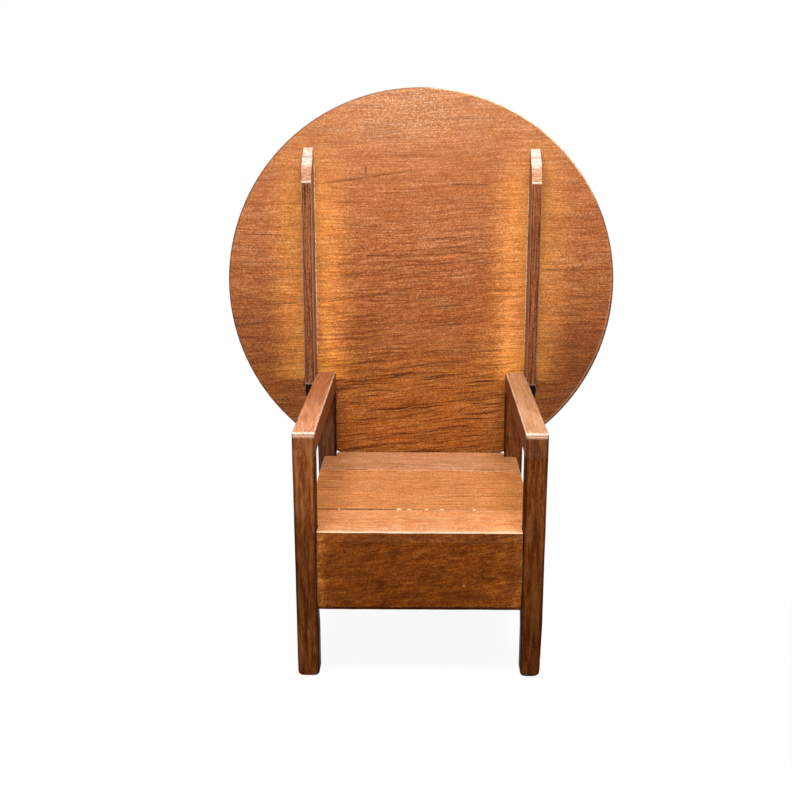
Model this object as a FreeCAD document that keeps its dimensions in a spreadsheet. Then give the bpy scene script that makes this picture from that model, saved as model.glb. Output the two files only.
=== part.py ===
import FreeCAD, Part
import os
import re
import Sketcher

# A chair table: a box-seated armchair whose round back swings forward about two wooden pins and
# comes to rest on the arms as a table top.  Millimetres, +Z up.  The sitter faces -Y, and the
# origin lies on the floor under the middle of the overall box.  The top is modelled upright, as
# the chair's back, and the seat lid is modelled closed.

# ---------------------------------------------------------------- driving sizes
# name, millimetres (or a plain count of degrees), what it measures
SIZES = [
    ("frame_width", 666, "across the outer faces of the two arms"),
    ("arm_length", 751, "front end to rear end of an arm"),
    ("arm_top", 692, "floor to the upper faces of the arms"),
    ("arm_thick", 64, "height of an arm's section"),
    ("arm_width", 60, "width of an arm's section"),
    ("nose_round", 12, "rounding of an arm's front upper edge"),
    ("arris", 3, "rounding of the arms' and boards' long edges"),
    ("front_leg_width", 60, "width of a front leg at its top"),
    ("rear_leg_width", 60, "width of a rear leg at its top"),
    ("leg_depth", 56, "front to back of a leg"),
    ("leg_taper", 5, "how far a leg's outer face leans in at the foot"),
    ("leg_round", 8, "rounding of a leg's four long edges"),
    ("foot_round", 7, "rounding of a leg's bottom edges"),
    ("tenon_width", 30, "side of the square stub tenon on top of a leg"),
    ("tenon_height", 18, "height of that tenon"),
    ("seat_top", 420, "floor to the sitting surface"),
    ("seat_thick", 30, "thickness of the seat boards"),
    ("seat_inset", 22, "seat's side edges inside the frame's outer faces"),
    ("seat_setback", 6, "seat's front edge behind the legs' front faces"),
    ("front_board_depth", 178, "front to back of the lid's front board"),
    ("lid_depth", 541, "front to back of the whole lid, to the hinge line"),
    ("rear_board_inset", 12, "seat's rear edge ahead of the rear legs' back faces"),
    ("seat_round", 5, "rounding of the seat's front edge"),
    ("seam_round", 1, "rounding along the seam between the lid's two boards"),
    ("seat_gap", 1.5, "gap between the seat boards and the legs they pass"),
    ("seam_gap", 1, "gap between the lid and the fixed rear board"),
    ("lid_gap", 0.5, "gap between the closed lid and the rim of the box"),
    ("panel_bottom", 198, "floor to the lower edges of the box panels"),
    ("panel_thick", 22, "thickness of the front and back panels"),
    ("panel_setback", 6.5, "front panel behind the legs' front faces"),
    ("back_inset", 14, "back panel ahead of the rear legs' back faces"),
    ("side_thick", 20, "thickness of the side panels"),
    ("side_inset", 25, "side panel inside the frame's outer face"),
    ("bottom_thick", 16, "thickness of the box's bottom board"),
    ("cleat_size", 22, "side of the square cleats glued inside the box"),
    ("lid_cleat_width", 45, "width of the cleats under the lid"),
    ("lid_cleat_thick", 18, "thickness of the cleats under the lid"),
    ("lid_cleat_inset", 141, "seat's side edge to the middle of a lid cleat"),
    ("lid_cleat_front", 54, "lid's front edge to the front end of a lid cleat"),
    ("lid_cleat_rear", 24, "hinge line to the rear end of a lid cleat"),
    ("dowel_radius", 4, "radius of the dowels in the box's corners"),
    ("dowel_reach", 20, "how far a corner dowel goes into each piece"),
    ("dowel_inset", 38, "panel's edge to the nearest corner dowel"),
    ("glue_gap", 0.15, "room for glue round dowels, tenons and glued cleats"),
    ("top_diameter", 1220, "across the round top"),
    ("top_thick", 26, "thickness of the round top"),
    ("top_round", 5, "rounding of the round top's rim"),
    ("top_reach", 304, "pivot to the centre of the round top"),
    ("face_gap", 0.5, "gap between the round top and what it rests on"),
    ("pivot_inset", 32, "pivot below the arm's upper face and ahead of its rear end"),
    ("pivot_radius", 9, "radius of a pivot pin"),
    ("pivot_play", 0.05, "radial clearance of a pivot pin"),
    ("pivot_reach", 40, "how far a pivot pin goes into the arm"),
    ("pivot_head_radius", 14, "radius of a pivot pin's head"),
    ("pivot_head_thick", 8, "thickness of a pivot pin's head"),
    ("batten_thick", 33, "width of a batten, across the round top"),
    ("batten_depth", 84, "how far a batten stands off the round top"),
    ("batten_flat", 626, "length of a batten's straight face"),
    ("batten_rise", 12, "middle of that face above the middle of the upright round top"),
    ("batten_tip", 103, "length of a batten's upper end, along the round top"),
    ("batten_heel", 65, "length of a batten's lower end, along the round top"),
    ("swell_length", 42, "how far beyond the straight face the ends are fullest"),
    ("swell_depth", 15, "how far behind the straight face the ends are fullest"),
    ("batten_round", 60, "rounding of the ends where they are fullest"),
    ("batten_gap", 0.6, "gap between a batten and the arm beside it"),
    ("batten_arris", 2.5, "rounding of a batten's long outer edges"),
    ("batten_dowel_radius", 5, "radius of the dowels between batten and round top"),
    ("batten_dowel_pitch", 150, "distance between those dowels"),
    ("batten_dowel_depth", 18, "how far such a dowel goes into the batten"),
    ("top_dowel_depth", 13, "how far such a dowel goes into the round top"),
    ("hinge_inset", 111, "seat's side edge to the middle of a seat hinge"),
    ("hinge_length", 66, "length of a seat hinge"),
    ("hinge_drop", 3.2, "hinge axis below the sitting surface"),
    ("leaf_height", 18, "hinge axis to the lower edge of a leaf"),
    ("leaf_thick", 1.6, "hinge axis to the outer face of a leaf"),
    ("leaf_gap", 0.2, "hinge axis to the inner face of a leaf"),
    ("barrel_radius", 2.6, "radius of the hinge barrel"),
    ("hinge_pin_radius", 1.3, "radius of the hinge pin"),
    ("hinge_play", 0.05, "radial clearance of the hinge pin"),
    ("knuckle_gap", 0.4, "gap between neighbouring knuckles"),
    ("barrel_room", 0.4, "room round the barrel in the boards"),
    ("screw_pitch", 22, "distance between the screws of a leaf"),
    ("screw_drop", 11, "hinge axis to the screws of a leaf"),
    ("screw_radius", 1.5, "radius of a hinge screw's shank"),
    ("screw_head_radius", 2.9, "radius of a hinge screw's head"),
    ("screw_length", 16, "length of a hinge screw"),
    ("cleat_screw_radius", 2.2, "radius of a lid cleat screw's shank"),
    ("cleat_screw_head", 4.2, "radius of a lid cleat screw's head"),
    ("cleat_screw_length", 34, "length of a lid cleat screw"),
    ("cleat_screw_inset", 30, "end of a lid cleat to its nearest screw"),
    ("cleat_screw_pitch", 60, "distance between the front two screws of a lid cleat"),
]

# ---------------------------------------------------------------- places worked out from the sizes
FRONT = "(-(arm_length + face_gap + top_thick) / 2)"
REAR = f"({FRONT} + arm_length)"
TOP_FACE = f"({REAR} + face_gap)"
FRAME_HALF = "(frame_width / 2)"
ARM_IN = f"({FRAME_HALF} - arm_width)"
ARM_UNDER = "(arm_top - arm_thick)"
FRONT_LEG_IN = f"({FRAME_HALF} - front_leg_width)"
REAR_LEG_IN = f"({FRAME_HALF} - rear_leg_width)"
FRONT_LEG_BACK = f"({FRONT} + leg_depth)"
REAR_LEG_FRONT = f"({REAR} - leg_depth)"
SEAT_UNDER = "(seat_top - seat_thick)"
SEAT_FRONT = f"({FRONT} + seat_setback)"
SEAT_HALF = f"({FRAME_HALF} - seat_inset)"
BOARD_SEAM = f"({SEAT_FRONT} + front_board_depth)"
HINGE_Y = f"({SEAT_FRONT} + lid_depth)"
HINGE_X = f"({SEAT_HALF} - hinge_inset)"
HINGE_Z = "(seat_top - hinge_drop)"
PANEL_FRONT = f"({FRONT} + panel_setback)"
PANEL_BACK = f"({PANEL_FRONT} + panel_thick)"
BACK_REAR = f"({REAR} - back_inset)"
BACK_FRONT = f"({BACK_REAR} - panel_thick)"
SIDE_OUT = f"({FRAME_HALF} - side_inset)"
SIDE_IN = f"({SIDE_OUT} - side_thick)"
RIM = f"({SEAT_UNDER} - lid_gap)"
BOTTOM_UNDER = "(panel_bottom + cleat_size)"
CLEAT_IN = f"({SIDE_IN} - cleat_size)"
PIVOT_Y = f"({REAR} - pivot_inset)"
PIVOT_Z = "(arm_top - pivot_inset)"
TOP_Z = f"({PIVOT_Z} + top_reach)"
BATTEN_IN = f"({FRAME_HALF} + batten_gap)"
BATTEN_OUT = f"({BATTEN_IN} + batten_thick)"
BATTEN_MID = f"({BATTEN_IN} + batten_thick / 2)"
BATTEN_FACE = f"({TOP_FACE} - batten_depth)"
DOWEL_LOW = "(panel_bottom + dowel_inset)"
DOWEL_HIGH = f"({RIM} - dowel_inset)"
DOWEL_ROWS = [DOWEL_LOW, f"(({DOWEL_LOW} + {DOWEL_HIGH}) / 2)", DOWEL_HIGH]
FRONT_DOWEL_Y = f"({PANEL_FRONT} + panel_thick / 2)"
BACK_DOWEL_Y = f"({BACK_FRONT} + panel_thick / 2)"
SIDE_DOWEL_X = f"({SIDE_IN} + side_thick / 2)"
LID_CLEAT_X = f"({SEAT_HALF} - lid_cleat_inset)"
LID_CLEAT_FRONT = f"({SEAT_FRONT} + lid_cleat_front)"
LID_CLEAT_REAR = f"({HINGE_Y} - lid_cleat_rear)"
LID_CLEAT_UNDER = f"({SEAT_UNDER} - lid_cleat_thick)"
CLEAT_SCREW_ROWS = [f"({LID_CLEAT_FRONT} + cleat_screw_inset)",
                    f"({LID_CLEAT_FRONT} + cleat_screw_inset + cleat_screw_pitch)",
                    f"({LID_CLEAT_REAR} - cleat_screw_inset - cleat_screw_pitch)",
                    f"({LID_CLEAT_REAR} - cleat_screw_inset)"]

SIDES = {"left": -1, "right": 1}

doc = FreeCAD.newDocument("ChairTable")
sheet = doc.addObject("Spreadsheet::Sheet", "Sizes")
for row, (name, millimetres, meaning) in enumerate(SIZES, start=1):
    sheet.set(f"A{row}", meaning)
    sheet.set(f"B{row}", str(millimetres))
    sheet.setAlias(f"B{row}", name)
doc.recompute()

SIZE_NAME = re.compile(r"\b(" + "|".join(name for name, _, _ in SIZES) + r")\b")
parts = {}
cuts = []


# ---------------------------------------------------------------- helpers
def formula(text):
    """A formula in size names, written as the sheet's cells."""
    return SIZE_NAME.sub(r"Sizes.\1", str(text))


def bind(thing, **formulas):
    """Bind properties to formulas; a double underscore stands for a dot."""
    for key, text in formulas.items():
        thing.setExpression(key.replace("__", "."), formula(text))


def keep(label, thing):
    """Register a finished sub-part under its own label."""
    thing.Label = label
    parts[label] = thing
    return thing


# Origin plane whose normal is each axis, the sign of that normal, and the normal's direction.
PLANES = {"x": ("YZ_Plane", 1), "y": ("XZ_Plane", -1), "z": ("XY_Plane", 1)}


def sketch(body, axis, start):
    """An empty sketch square to an axis, at the formula start along it."""
    role, sign = PLANES[axis]
    plane = next(item for item in body.Origin.OriginFeatures if item.Role == role)
    drawing = body.newObject("Sketcher::SketchObject", f"Sketch_{body.Name}")
    drawing.AttachmentSupport = [(plane, "")]
    drawing.MapMode = "FlatFace"
    bind(drawing, AttachmentOffset__Base__z=f"{sign} * ({start})")
    return drawing


def pin_point(drawing, geometry, vertex, across, up):
    """Hold one vertex of a sketch at two formulas from the origin."""
    for kind, text in (("DistanceX", across), ("DistanceY", up)):
        index = drawing.addConstraint(Sketcher.Constraint(kind, -1, 1, geometry, vertex, 1.0))
        name = f"{kind}_{geometry}"
        drawing.renameConstraint(index, name)
        drawing.setExpression(f"Constraints.{name}", formula(text))


def polygon(drawing, corners):
    """A closed outline through corners given as pairs of formulas."""
    count = len(corners)
    for number in range(count):
        here = FreeCAD.Vector(number, number * number, 0)
        there = FreeCAD.Vector((number + 1) % count, ((number + 1) % count) ** 2, 0)
        drawing.addGeometry(Part.LineSegment(here, there), False)
    for number in range(count):
        following = (number + 1) % count
        drawing.addConstraint(Sketcher.Constraint("Coincident", number, 2, following, 1))
    for number, (across, up) in enumerate(corners):
        pin_point(drawing, number, 1, across, up)


def circles(drawing, centres, radius):
    """Circles of one radius, at centres given as pairs of formulas."""
    for number, (across, up) in enumerate(centres):
        middle = FreeCAD.Vector(number * 3, number, 0)
        drawing.addGeometry(Part.Circle(middle, FreeCAD.Vector(0, 0, 1), 1.0), False)
        pin_point(drawing, number, 3, across, up)
        index = drawing.addConstraint(Sketcher.Constraint("Radius", number, 1.0))
        drawing.renameConstraint(index, f"Radius_{number}")
        drawing.setExpression(f"Constraints.Radius_{number}", formula(radius))


def pad(body, axis, toward, drawing, length):
    """Extrude a sketch along an axis, toward +1 or -1."""
    feature = body.newObject("PartDesign::Pad", f"Pad_{body.Name}")
    feature.Profile = drawing
    feature.Reversed = toward != PLANES[axis][1]
    bind(feature, Length=length)
    drawing.Visibility = False
    return feature


def pocket(body, axis, toward, drawing, length):
    """Cut a sketch's shape along an axis, toward +1 or -1."""
    feature = body.newObject("PartDesign::Pocket", f"Pocket_{body.Name}")
    feature.Profile = drawing
    feature.Reversed = toward == PLANES[axis][1]
    bind(feature, Length=length)
    cuts.append(feature)
    return feature


def new_body(label):
    return keep(label, doc.addObject("PartDesign::Body", label))


def board(label, axis, start, length, corners):
    """A body made of one outline extruded along an axis from start."""
    body = new_body(label)
    drawing = sketch(body, axis, start)
    polygon(drawing, corners)
    pad(body, axis, 1, drawing, length)
    return body


def block(label, low, high):
    """A plain rectangular body between two corners given as formulas."""
    corners = rectangle(low[0], low[1], high[0], high[1])
    return board(label, "z", low[2], f"{high[2]} - {low[2]}", corners)


def rectangle(left, low, right, high):
    return [(left, low), (right, low), (right, high), (left, high)]


def drill(body, axis, toward, start, depth, centres, radius):
    """Round holes of one size from a flat start."""
    drawing = sketch(body, axis, start)
    circles(drawing, centres, radius)
    return pocket(body, axis, toward, drawing, depth)


def chop(body, axis, toward, start, depth, corners):
    """A recess with a straight-sided outline from a flat start."""
    drawing = sketch(body, axis, start)
    polygon(drawing, corners)
    return pocket(body, axis, toward, drawing, depth)


def soften(body, radius, test):
    """Round the edges of the body's last feature that pass a test."""
    doc.recompute()
    base = body.Tip
    points = [vertex.Point for vertex in base.Shape.Vertexes]
    low = FreeCAD.Vector(*(min(values) for values in zip(*points)))
    high = FreeCAD.Vector(*(max(values) for values in zip(*points)))
    names = [f"Edge{number}" for number, edge in enumerate(base.Shape.Edges, start=1)
             if test(edge, low, high)]
    feature = body.newObject("PartDesign::Fillet", f"Round_{body.Name}")
    feature.Base = (base, names)
    bind(feature, Radius=radius)
    doc.recompute()
    return feature


def runs_along(edge, axis):
    """Whether an edge is straight and within about ten degrees of an axis."""
    if not isinstance(edge.Curve, Part.Line):
        return False
    span = edge.lastVertex().Point - edge.firstVertex().Point
    return abs(getattr(span, axis)) > 0.98 * span.Length


def lies_at(edge, axis, place):
    """Whether a whole edge lies at one place along an axis."""
    middle = edge.valueAt((edge.FirstParameter + edge.LastParameter) / 2)
    points = [middle] + [vertex.Point for vertex in edge.Vertexes]
    return all(abs(getattr(point, axis) - place) < 0.01 for point in points)


def rod(name, axis, point, length, radius):
    """A cylinder along an axis from a point given as formulas."""
    turns = {"x": ((0, 1, 0), 90), "y": ((1, 0, 0), -90), "z": ((0, 0, 1), 0)}
    spin_axis, degrees = turns[axis]
    cylinder = doc.addObject("Part::Cylinder", name)
    cylinder.Placement.Rotation = FreeCAD.Rotation(FreeCAD.Vector(*spin_axis), degrees)
    bind(cylinder, Radius=radius, Height=length, Placement__Base__x=point[0],
         Placement__Base__y=point[1], Placement__Base__z=point[2])
    return cylinder


def box(name, low, high):
    """A Part box between two corners given as formulas."""
    solid = doc.addObject("Part::Box", name)
    bind(solid, Length=f"{high[0]} - {low[0]}", Width=f"{high[1]} - {low[1]}",
         Height=f"{high[2]} - {low[2]}", Placement__Base__x=low[0],
         Placement__Base__y=low[1], Placement__Base__z=low[2])
    return solid


def head(name, axis, toward, point, rim_radius, shank_radius, height):
    """A countersunk head: a cone whose wide rim is at the point."""
    turns = {("y", 1): ((1, 0, 0), -90), ("y", -1): ((1, 0, 0), 90), ("z", 1): ((0, 0, 1), 0)}
    spin_axis, degrees = turns[(axis, toward)]
    cone = doc.addObject("Part::Cone", name)
    cone.Placement.Rotation = FreeCAD.Rotation(FreeCAD.Vector(*spin_axis), degrees)
    bind(cone, Radius1=rim_radius, Radius2=shank_radius, Height=height,
         Placement__Base__x=point[0], Placement__Base__y=point[1], Placement__Base__z=point[2])
    return cone


def fuse(name, pieces):
    union = doc.addObject("Part::MultiFuse", name)
    union.Shapes = pieces
    return union


def subtract(name, base, tools):
    result = doc.addObject("Part::Cut", name)
    result.Base = base
    result.Tool = tools[0] if len(tools) == 1 else fuse(f"{name}_tools", tools)
    return result


def group(label, pieces):
    """Several identical, separate solids as one node."""
    compound = doc.addObject("Part::Compound", label)
    compound.Links = pieces
    return keep(label, compound)


def screw(name, axis, toward, point, length, radius, head_radius):
    """A countersunk wood screw from the flat of its head."""
    start = list(point)
    if axis == "y" and toward < 0:
        start[1] = f"{point[1]} - {length}"
    shank = rod(f"{name}_shank", axis, start, length, radius)
    cone = head(f"{name}_head", axis, toward, point, head_radius, radius,
                f"{head_radius} - {radius}")
    return fuse(name, [shank, cone])


# ---------------------------------------------------------------- frame: legs and arms
def leg(label, side, inner, start):
    """One leg: its outer face leans in towards the foot, with a stub tenon on top."""
    outer = FRAME_HALF
    body = board(label, "y", start, "leg_depth", [
        (f"{side} * {inner}", "0"),
        (f"{side} * ({outer} - leg_taper)", "0"),
        (f"{side} * {outer}", ARM_UNDER),
        (f"{side} * {inner}", ARM_UNDER)])
    soften(body, "leg_round", lambda edge, low, high: runs_along(edge, "z"))
    soften(body, "foot_round", lambda edge, low, high: lies_at(edge, "z", low.z))
    drawing = sketch(body, "z", ARM_UNDER)
    polygon(drawing, tenon_outline(side, inner, start, "0"))
    pad(body, "z", 1, drawing, "tenon_height")
    return body


def tenon_outline(side, inner, start, room):
    """The tenon's square on top of a leg, grown by some room all round."""
    middle_x = f"{side} * ({inner} + {FRAME_HALF}) / 2"
    middle_y = f"({start} + leg_depth / 2)"
    half = f"(tenon_width / 2 + {room})"
    return rectangle(f"{middle_x} - {half}", f"{middle_y} - {half}",
                     f"{middle_x} + {half}", f"{middle_y} + {half}")


def front_leg(name, side):
    body = leg(f"front_leg_{name}", side, FRONT_LEG_IN, FRONT)
    drill(body, "x", side, f"{side} * {FRONT_LEG_IN}", "dowel_reach + glue_gap",
          [(FRONT_DOWEL_Y, height) for height in DOWEL_ROWS], "dowel_radius + glue_gap")
    drill(body, "y", -1, FRONT_LEG_BACK, "dowel_reach + glue_gap",
          [(f"{side} * {SIDE_DOWEL_X}", height) for height in DOWEL_ROWS],
          "dowel_radius + glue_gap")


def rear_leg(name, side):
    body = leg(f"rear_leg_{name}", side, REAR_LEG_IN, REAR_LEG_FRONT)
    drill(body, "x", side, f"{side} * {REAR_LEG_IN}", "dowel_reach + glue_gap",
          [(BACK_DOWEL_Y, height) for height in DOWEL_ROWS], "dowel_radius + glue_gap")
    drill(body, "y", 1, REAR_LEG_FRONT, "dowel_reach + glue_gap",
          [(f"{side} * {SIDE_DOWEL_X}", height) for height in DOWEL_ROWS],
          "dowel_radius + glue_gap")


def arm(name, side):
    """One arm: its rear upper corner is rounded about the pivot, so that the top can pass."""
    low = ARM_IN if side > 0 else f"-{FRAME_HALF}"
    body = board(f"arm_{name}", "x", low, "arm_width",
                 rectangle(FRONT, ARM_UNDER, REAR, "arm_top"))
    soften(body, "pivot_inset", lambda edge, low, high: lies_at(edge, "z", high.z)
           and lies_at(edge, "y", high.y))
    soften(body, "nose_round", lambda edge, low, high: lies_at(edge, "z", high.z)
           and lies_at(edge, "y", low.y))
    soften(body, "arris", lambda edge, low, high: runs_along(edge, "y")
           and lies_at(edge, "z", high.z))
    soften(body, "arris", lambda edge, low, high: runs_along(edge, "y")
           and lies_at(edge, "z", low.z))
    for inner, start in ((FRONT_LEG_IN, FRONT), (REAR_LEG_IN, REAR_LEG_FRONT)):
        chop(body, "z", 1, ARM_UNDER, "tenon_height + glue_gap",
             tenon_outline(side, inner, start, "glue_gap"))
    drill(body, "x", -side, f"{side} * {FRAME_HALF}", "pivot_reach + glue_gap",
          [(PIVOT_Y, PIVOT_Z)], "pivot_radius + pivot_play")


# ---------------------------------------------------------------- frame: the box under the seat
def front_panel():
    body = block("front_panel", (f"-{FRONT_LEG_IN}", PANEL_FRONT, "panel_bottom"),
                 (FRONT_LEG_IN, PANEL_BACK, RIM))
    for side in SIDES.values():
        drill(body, "x", -side, f"{side} * {FRONT_LEG_IN}", "dowel_reach + glue_gap",
              [(FRONT_DOWEL_Y, height) for height in DOWEL_ROWS], "dowel_radius + glue_gap")


def back_panel():
    body = block("back_panel", (f"-{REAR_LEG_IN}", BACK_FRONT, "panel_bottom"),
                 (REAR_LEG_IN, BACK_REAR, SEAT_UNDER))
    for side in SIDES.values():
        drill(body, "x", -side, f"{side} * {REAR_LEG_IN}", "dowel_reach + glue_gap",
              [(BACK_DOWEL_Y, height) for height in DOWEL_ROWS], "dowel_radius + glue_gap")


def side_panel(name, side):
    low, high = (SIDE_IN, SIDE_OUT) if side > 0 else (f"-{SIDE_OUT}", f"-{SIDE_IN}")
    body = block(f"side_panel_{name}", (low, FRONT_LEG_BACK, "panel_bottom"),
                 (high, REAR_LEG_FRONT, RIM))
    for start, toward in ((FRONT_LEG_BACK, 1), (REAR_LEG_FRONT, -1)):
        drill(body, "y", toward, start, "dowel_reach + glue_gap",
              [(f"{side} * {SIDE_DOWEL_X}", height) for height in DOWEL_ROWS],
              "dowel_radius + glue_gap")


def panel_dowels():
    """Blind dowels, three at each end of the four panels."""
    dowels = []
    length = "2 * dowel_reach"
    for name, side in SIDES.items():
        for number, height in enumerate(DOWEL_ROWS):
            for place, inner, middle in (("front", FRONT_LEG_IN, FRONT_DOWEL_Y),
                                         ("back", REAR_LEG_IN, BACK_DOWEL_Y)):
                point = (f"{side} * {inner} - dowel_reach", middle, height)
                dowels.append(rod(f"dowel_{place}_{name}_{number}", "x", point, length,
                                  "dowel_radius"))
            for place, joint in (("near", FRONT_LEG_BACK), ("far", REAR_LEG_FRONT)):
                point = (f"{side} * {SIDE_DOWEL_X}", f"{joint} - dowel_reach", height)
                dowels.append(rod(f"dowel_{place}_{name}_{number}", "y", point, length,
                                  "dowel_radius"))
    group("panel_dowels", dowels)


def box_bottom():
    """The bottom board, notched round the four legs."""
    front = f"({PANEL_BACK} + glue_gap)"
    rear = f"({BACK_FRONT} - glue_gap)"
    half = f"({SIDE_IN} - glue_gap)"
    near_x = f"({FRONT_LEG_IN} - glue_gap)"
    near_y = f"({FRONT_LEG_BACK} + glue_gap)"
    far_x = f"({REAR_LEG_IN} - glue_gap)"
    far_y = f"({REAR_LEG_FRONT} - glue_gap)"
    right = [(near_x, front), (near_x, near_y), (half, near_y),
             (half, far_y), (far_x, far_y), (far_x, rear)]
    left = [(f"-{across}", up) for across, up in reversed(right)]
    board("box_bottom", "z", BOTTOM_UNDER, "bottom_thick", right + left)


def bottom_cleats():
    """Square cleats round the foot of the box, which carry the bottom board."""
    rear_end = f"({BACK_FRONT} - cleat_size - glue_gap)"
    front_end = f"({PANEL_BACK} + cleat_size + glue_gap)"
    for name, side in SIDES.items():
        low, high = (CLEAT_IN, SIDE_IN) if side > 0 else (f"-{SIDE_IN}", f"-{CLEAT_IN}")
        start = f"max({FRONT_LEG_BACK} + glue_gap; {front_end})"
        block(f"bottom_cleat_{name}", (low, start, "panel_bottom"),
              (high, rear_end, BOTTOM_UNDER))
    reach = f"({FRONT_LEG_IN} - glue_gap)"
    block("bottom_cleat_front", (f"-{reach}", PANEL_BACK, "panel_bottom"),
          (reach, f"({PANEL_BACK} + cleat_size)", BOTTOM_UNDER))
    reach = f"({REAR_LEG_IN} - glue_gap)"
    block("bottom_cleat_back", (f"-{reach}", f"({BACK_FRONT} - cleat_size)", "panel_bottom"),
          (reach, BACK_FRONT, BOTTOM_UNDER))


def seat_cleats():
    """Cleats on the side panels, which carry the fixed rear board of the seat."""
    start = f"({HINGE_Y} + leaf_thick + cleat_size / 2)"
    for name, side in SIDES.items():
        low, high = (CLEAT_IN, SIDE_IN) if side > 0 else (f"-{SIDE_IN}", f"-{CLEAT_IN}")
        block(f"seat_cleat_{name}", (low, start, f"({SEAT_UNDER} - cleat_size)"),
              (high, f"({REAR_LEG_FRONT} - glue_gap)", SEAT_UNDER))


# ---------------------------------------------------------------- seat boards
def round_upper_edges(body, seam=None, nose=None):
    """Round a seat board's upper edges: a seam edge finely, a front edge fully, the rest alike."""
    finer = {"min": lambda low, high: low.y, "max": lambda low, high: high.y}

    def is_at(edge, side, low, high):
        return side is not None and lies_at(edge, "y", finer[side](low, high))

    soften(body, "arris", lambda edge, low, high: lies_at(edge, "z", high.z)
           and not is_at(edge, seam, low, high) and not is_at(edge, nose, low, high))
    for side, radius in ((nose, "seat_round"), (seam, "seam_round")):
        if side:
            soften(body, radius, lambda edge, low, high: lies_at(edge, "z", high.z)
                   and is_at(edge, side, low, high))


def hinge_gains(body, face, toward):
    """Recesses for the two hinges in a board's edge, with holes for the screws."""
    for side in SIDES.values():
        middle = f"{side} * {HINGE_X}"
        half = "(hinge_length / 2 + barrel_room)"
        leaf_edge = f"({HINGE_Y} + {toward} * (leaf_thick + glue_gap))"
        barrel_edge = f"({HINGE_Y} + {toward} * (barrel_radius + barrel_room))"
        chop(body, "z", 1, f"{HINGE_Z} - leaf_height - glue_gap", "seat_thick",
             rectangle(f"{middle} - {half}", face, f"{middle} + {half}", leaf_edge))
        chop(body, "z", 1, f"{HINGE_Z} - barrel_radius - barrel_room", "seat_thick",
             rectangle(f"{middle} - {half}", face, f"{middle} + {half}", barrel_edge))
        drill(body, "y", toward, face, "screw_length + glue_gap",
              [(f"{middle} + {step} * screw_pitch", f"{HINGE_Z} - screw_drop")
               for step in (-1, 0, 1)], "screw_radius + glue_gap")


def seat_rear_board():
    """The fixed board behind the lid, notched round the rear legs."""
    front = f"({HINGE_Y} + seam_gap / 2)"
    rear = f"({REAR} - rear_board_inset)"
    notch_x = f"({REAR_LEG_IN} - seat_gap)"
    notch_y = f"({REAR_LEG_FRONT} - seat_gap)"
    right = [(SEAT_HALF, front), (SEAT_HALF, notch_y), (notch_x, notch_y), (notch_x, rear)]
    left = [(f"-{across}", up) for across, up in reversed(right)]
    body = board("seat_rear_board", "z", SEAT_UNDER, "seat_thick", right + left)
    round_upper_edges(body)
    hinge_gains(body, front, 1)


def lid_front_board():
    """The lid's front board, notched round the front legs."""
    notch_x = f"({FRONT_LEG_IN} - seat_gap)"
    notch_y = f"({FRONT_LEG_BACK} + seat_gap)"
    right = [(notch_x, SEAT_FRONT), (notch_x, notch_y), (SEAT_HALF, notch_y),
             (SEAT_HALF, BOARD_SEAM)]
    left = [(f"-{across}", up) for across, up in reversed(right)]
    body = board("lid_front_board", "z", SEAT_UNDER, "seat_thick", right + left)
    round_upper_edges(body, seam="max", nose="min")
    drill_for_cleats(body, CLEAT_SCREW_ROWS[:2])


def lid_middle_board():
    rear = f"({HINGE_Y} - seam_gap / 2)"
    body = block("lid_middle_board", (f"-{SEAT_HALF}", BOARD_SEAM, SEAT_UNDER),
                 (SEAT_HALF, rear, "seat_top"))
    round_upper_edges(body, seam="min")
    hinge_gains(body, rear, -1)
    drill_for_cleats(body, CLEAT_SCREW_ROWS[2:])


def drill_for_cleats(body, rows):
    depth = "cleat_screw_length - lid_cleat_thick + glue_gap"
    drill(body, "z", 1, SEAT_UNDER, depth,
          [(f"{side} * {LID_CLEAT_X}", place) for side in SIDES.values() for place in rows],
          "cleat_screw_radius + glue_gap")


def lid_cleat(name, side):
    """A cleat across the lid's boards, with countersunk holes from below."""
    middle = f"{side} * {LID_CLEAT_X}"
    body = block(f"lid_cleat_{name}",
                 (f"{middle} - lid_cleat_width / 2", LID_CLEAT_FRONT, LID_CLEAT_UNDER),
                 (f"{middle} + lid_cleat_width / 2", LID_CLEAT_REAR, SEAT_UNDER))
    centres = [(middle, place) for place in CLEAT_SCREW_ROWS]
    drill(body, "z", 1, LID_CLEAT_UNDER, "lid_cleat_thick", centres,
          "cleat_screw_radius + glue_gap")
    drill(body, "z", 1, LID_CLEAT_UNDER, "cleat_screw_head - cleat_screw_radius + glue_gap",
          centres, "cleat_screw_head + glue_gap")


def lid_cleat_screws():
    screws = []
    for name, side in SIDES.items():
        for number, place in enumerate(CLEAT_SCREW_ROWS):
            screws.append(screw(f"cleat_screw_{name}_{number}", "z", 1,
                                (f"{side} * {LID_CLEAT_X}", place, LID_CLEAT_UNDER),
                                "cleat_screw_length", "cleat_screw_radius",
                                "cleat_screw_head"))
    group("lid_cleat_screws", screws)


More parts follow.
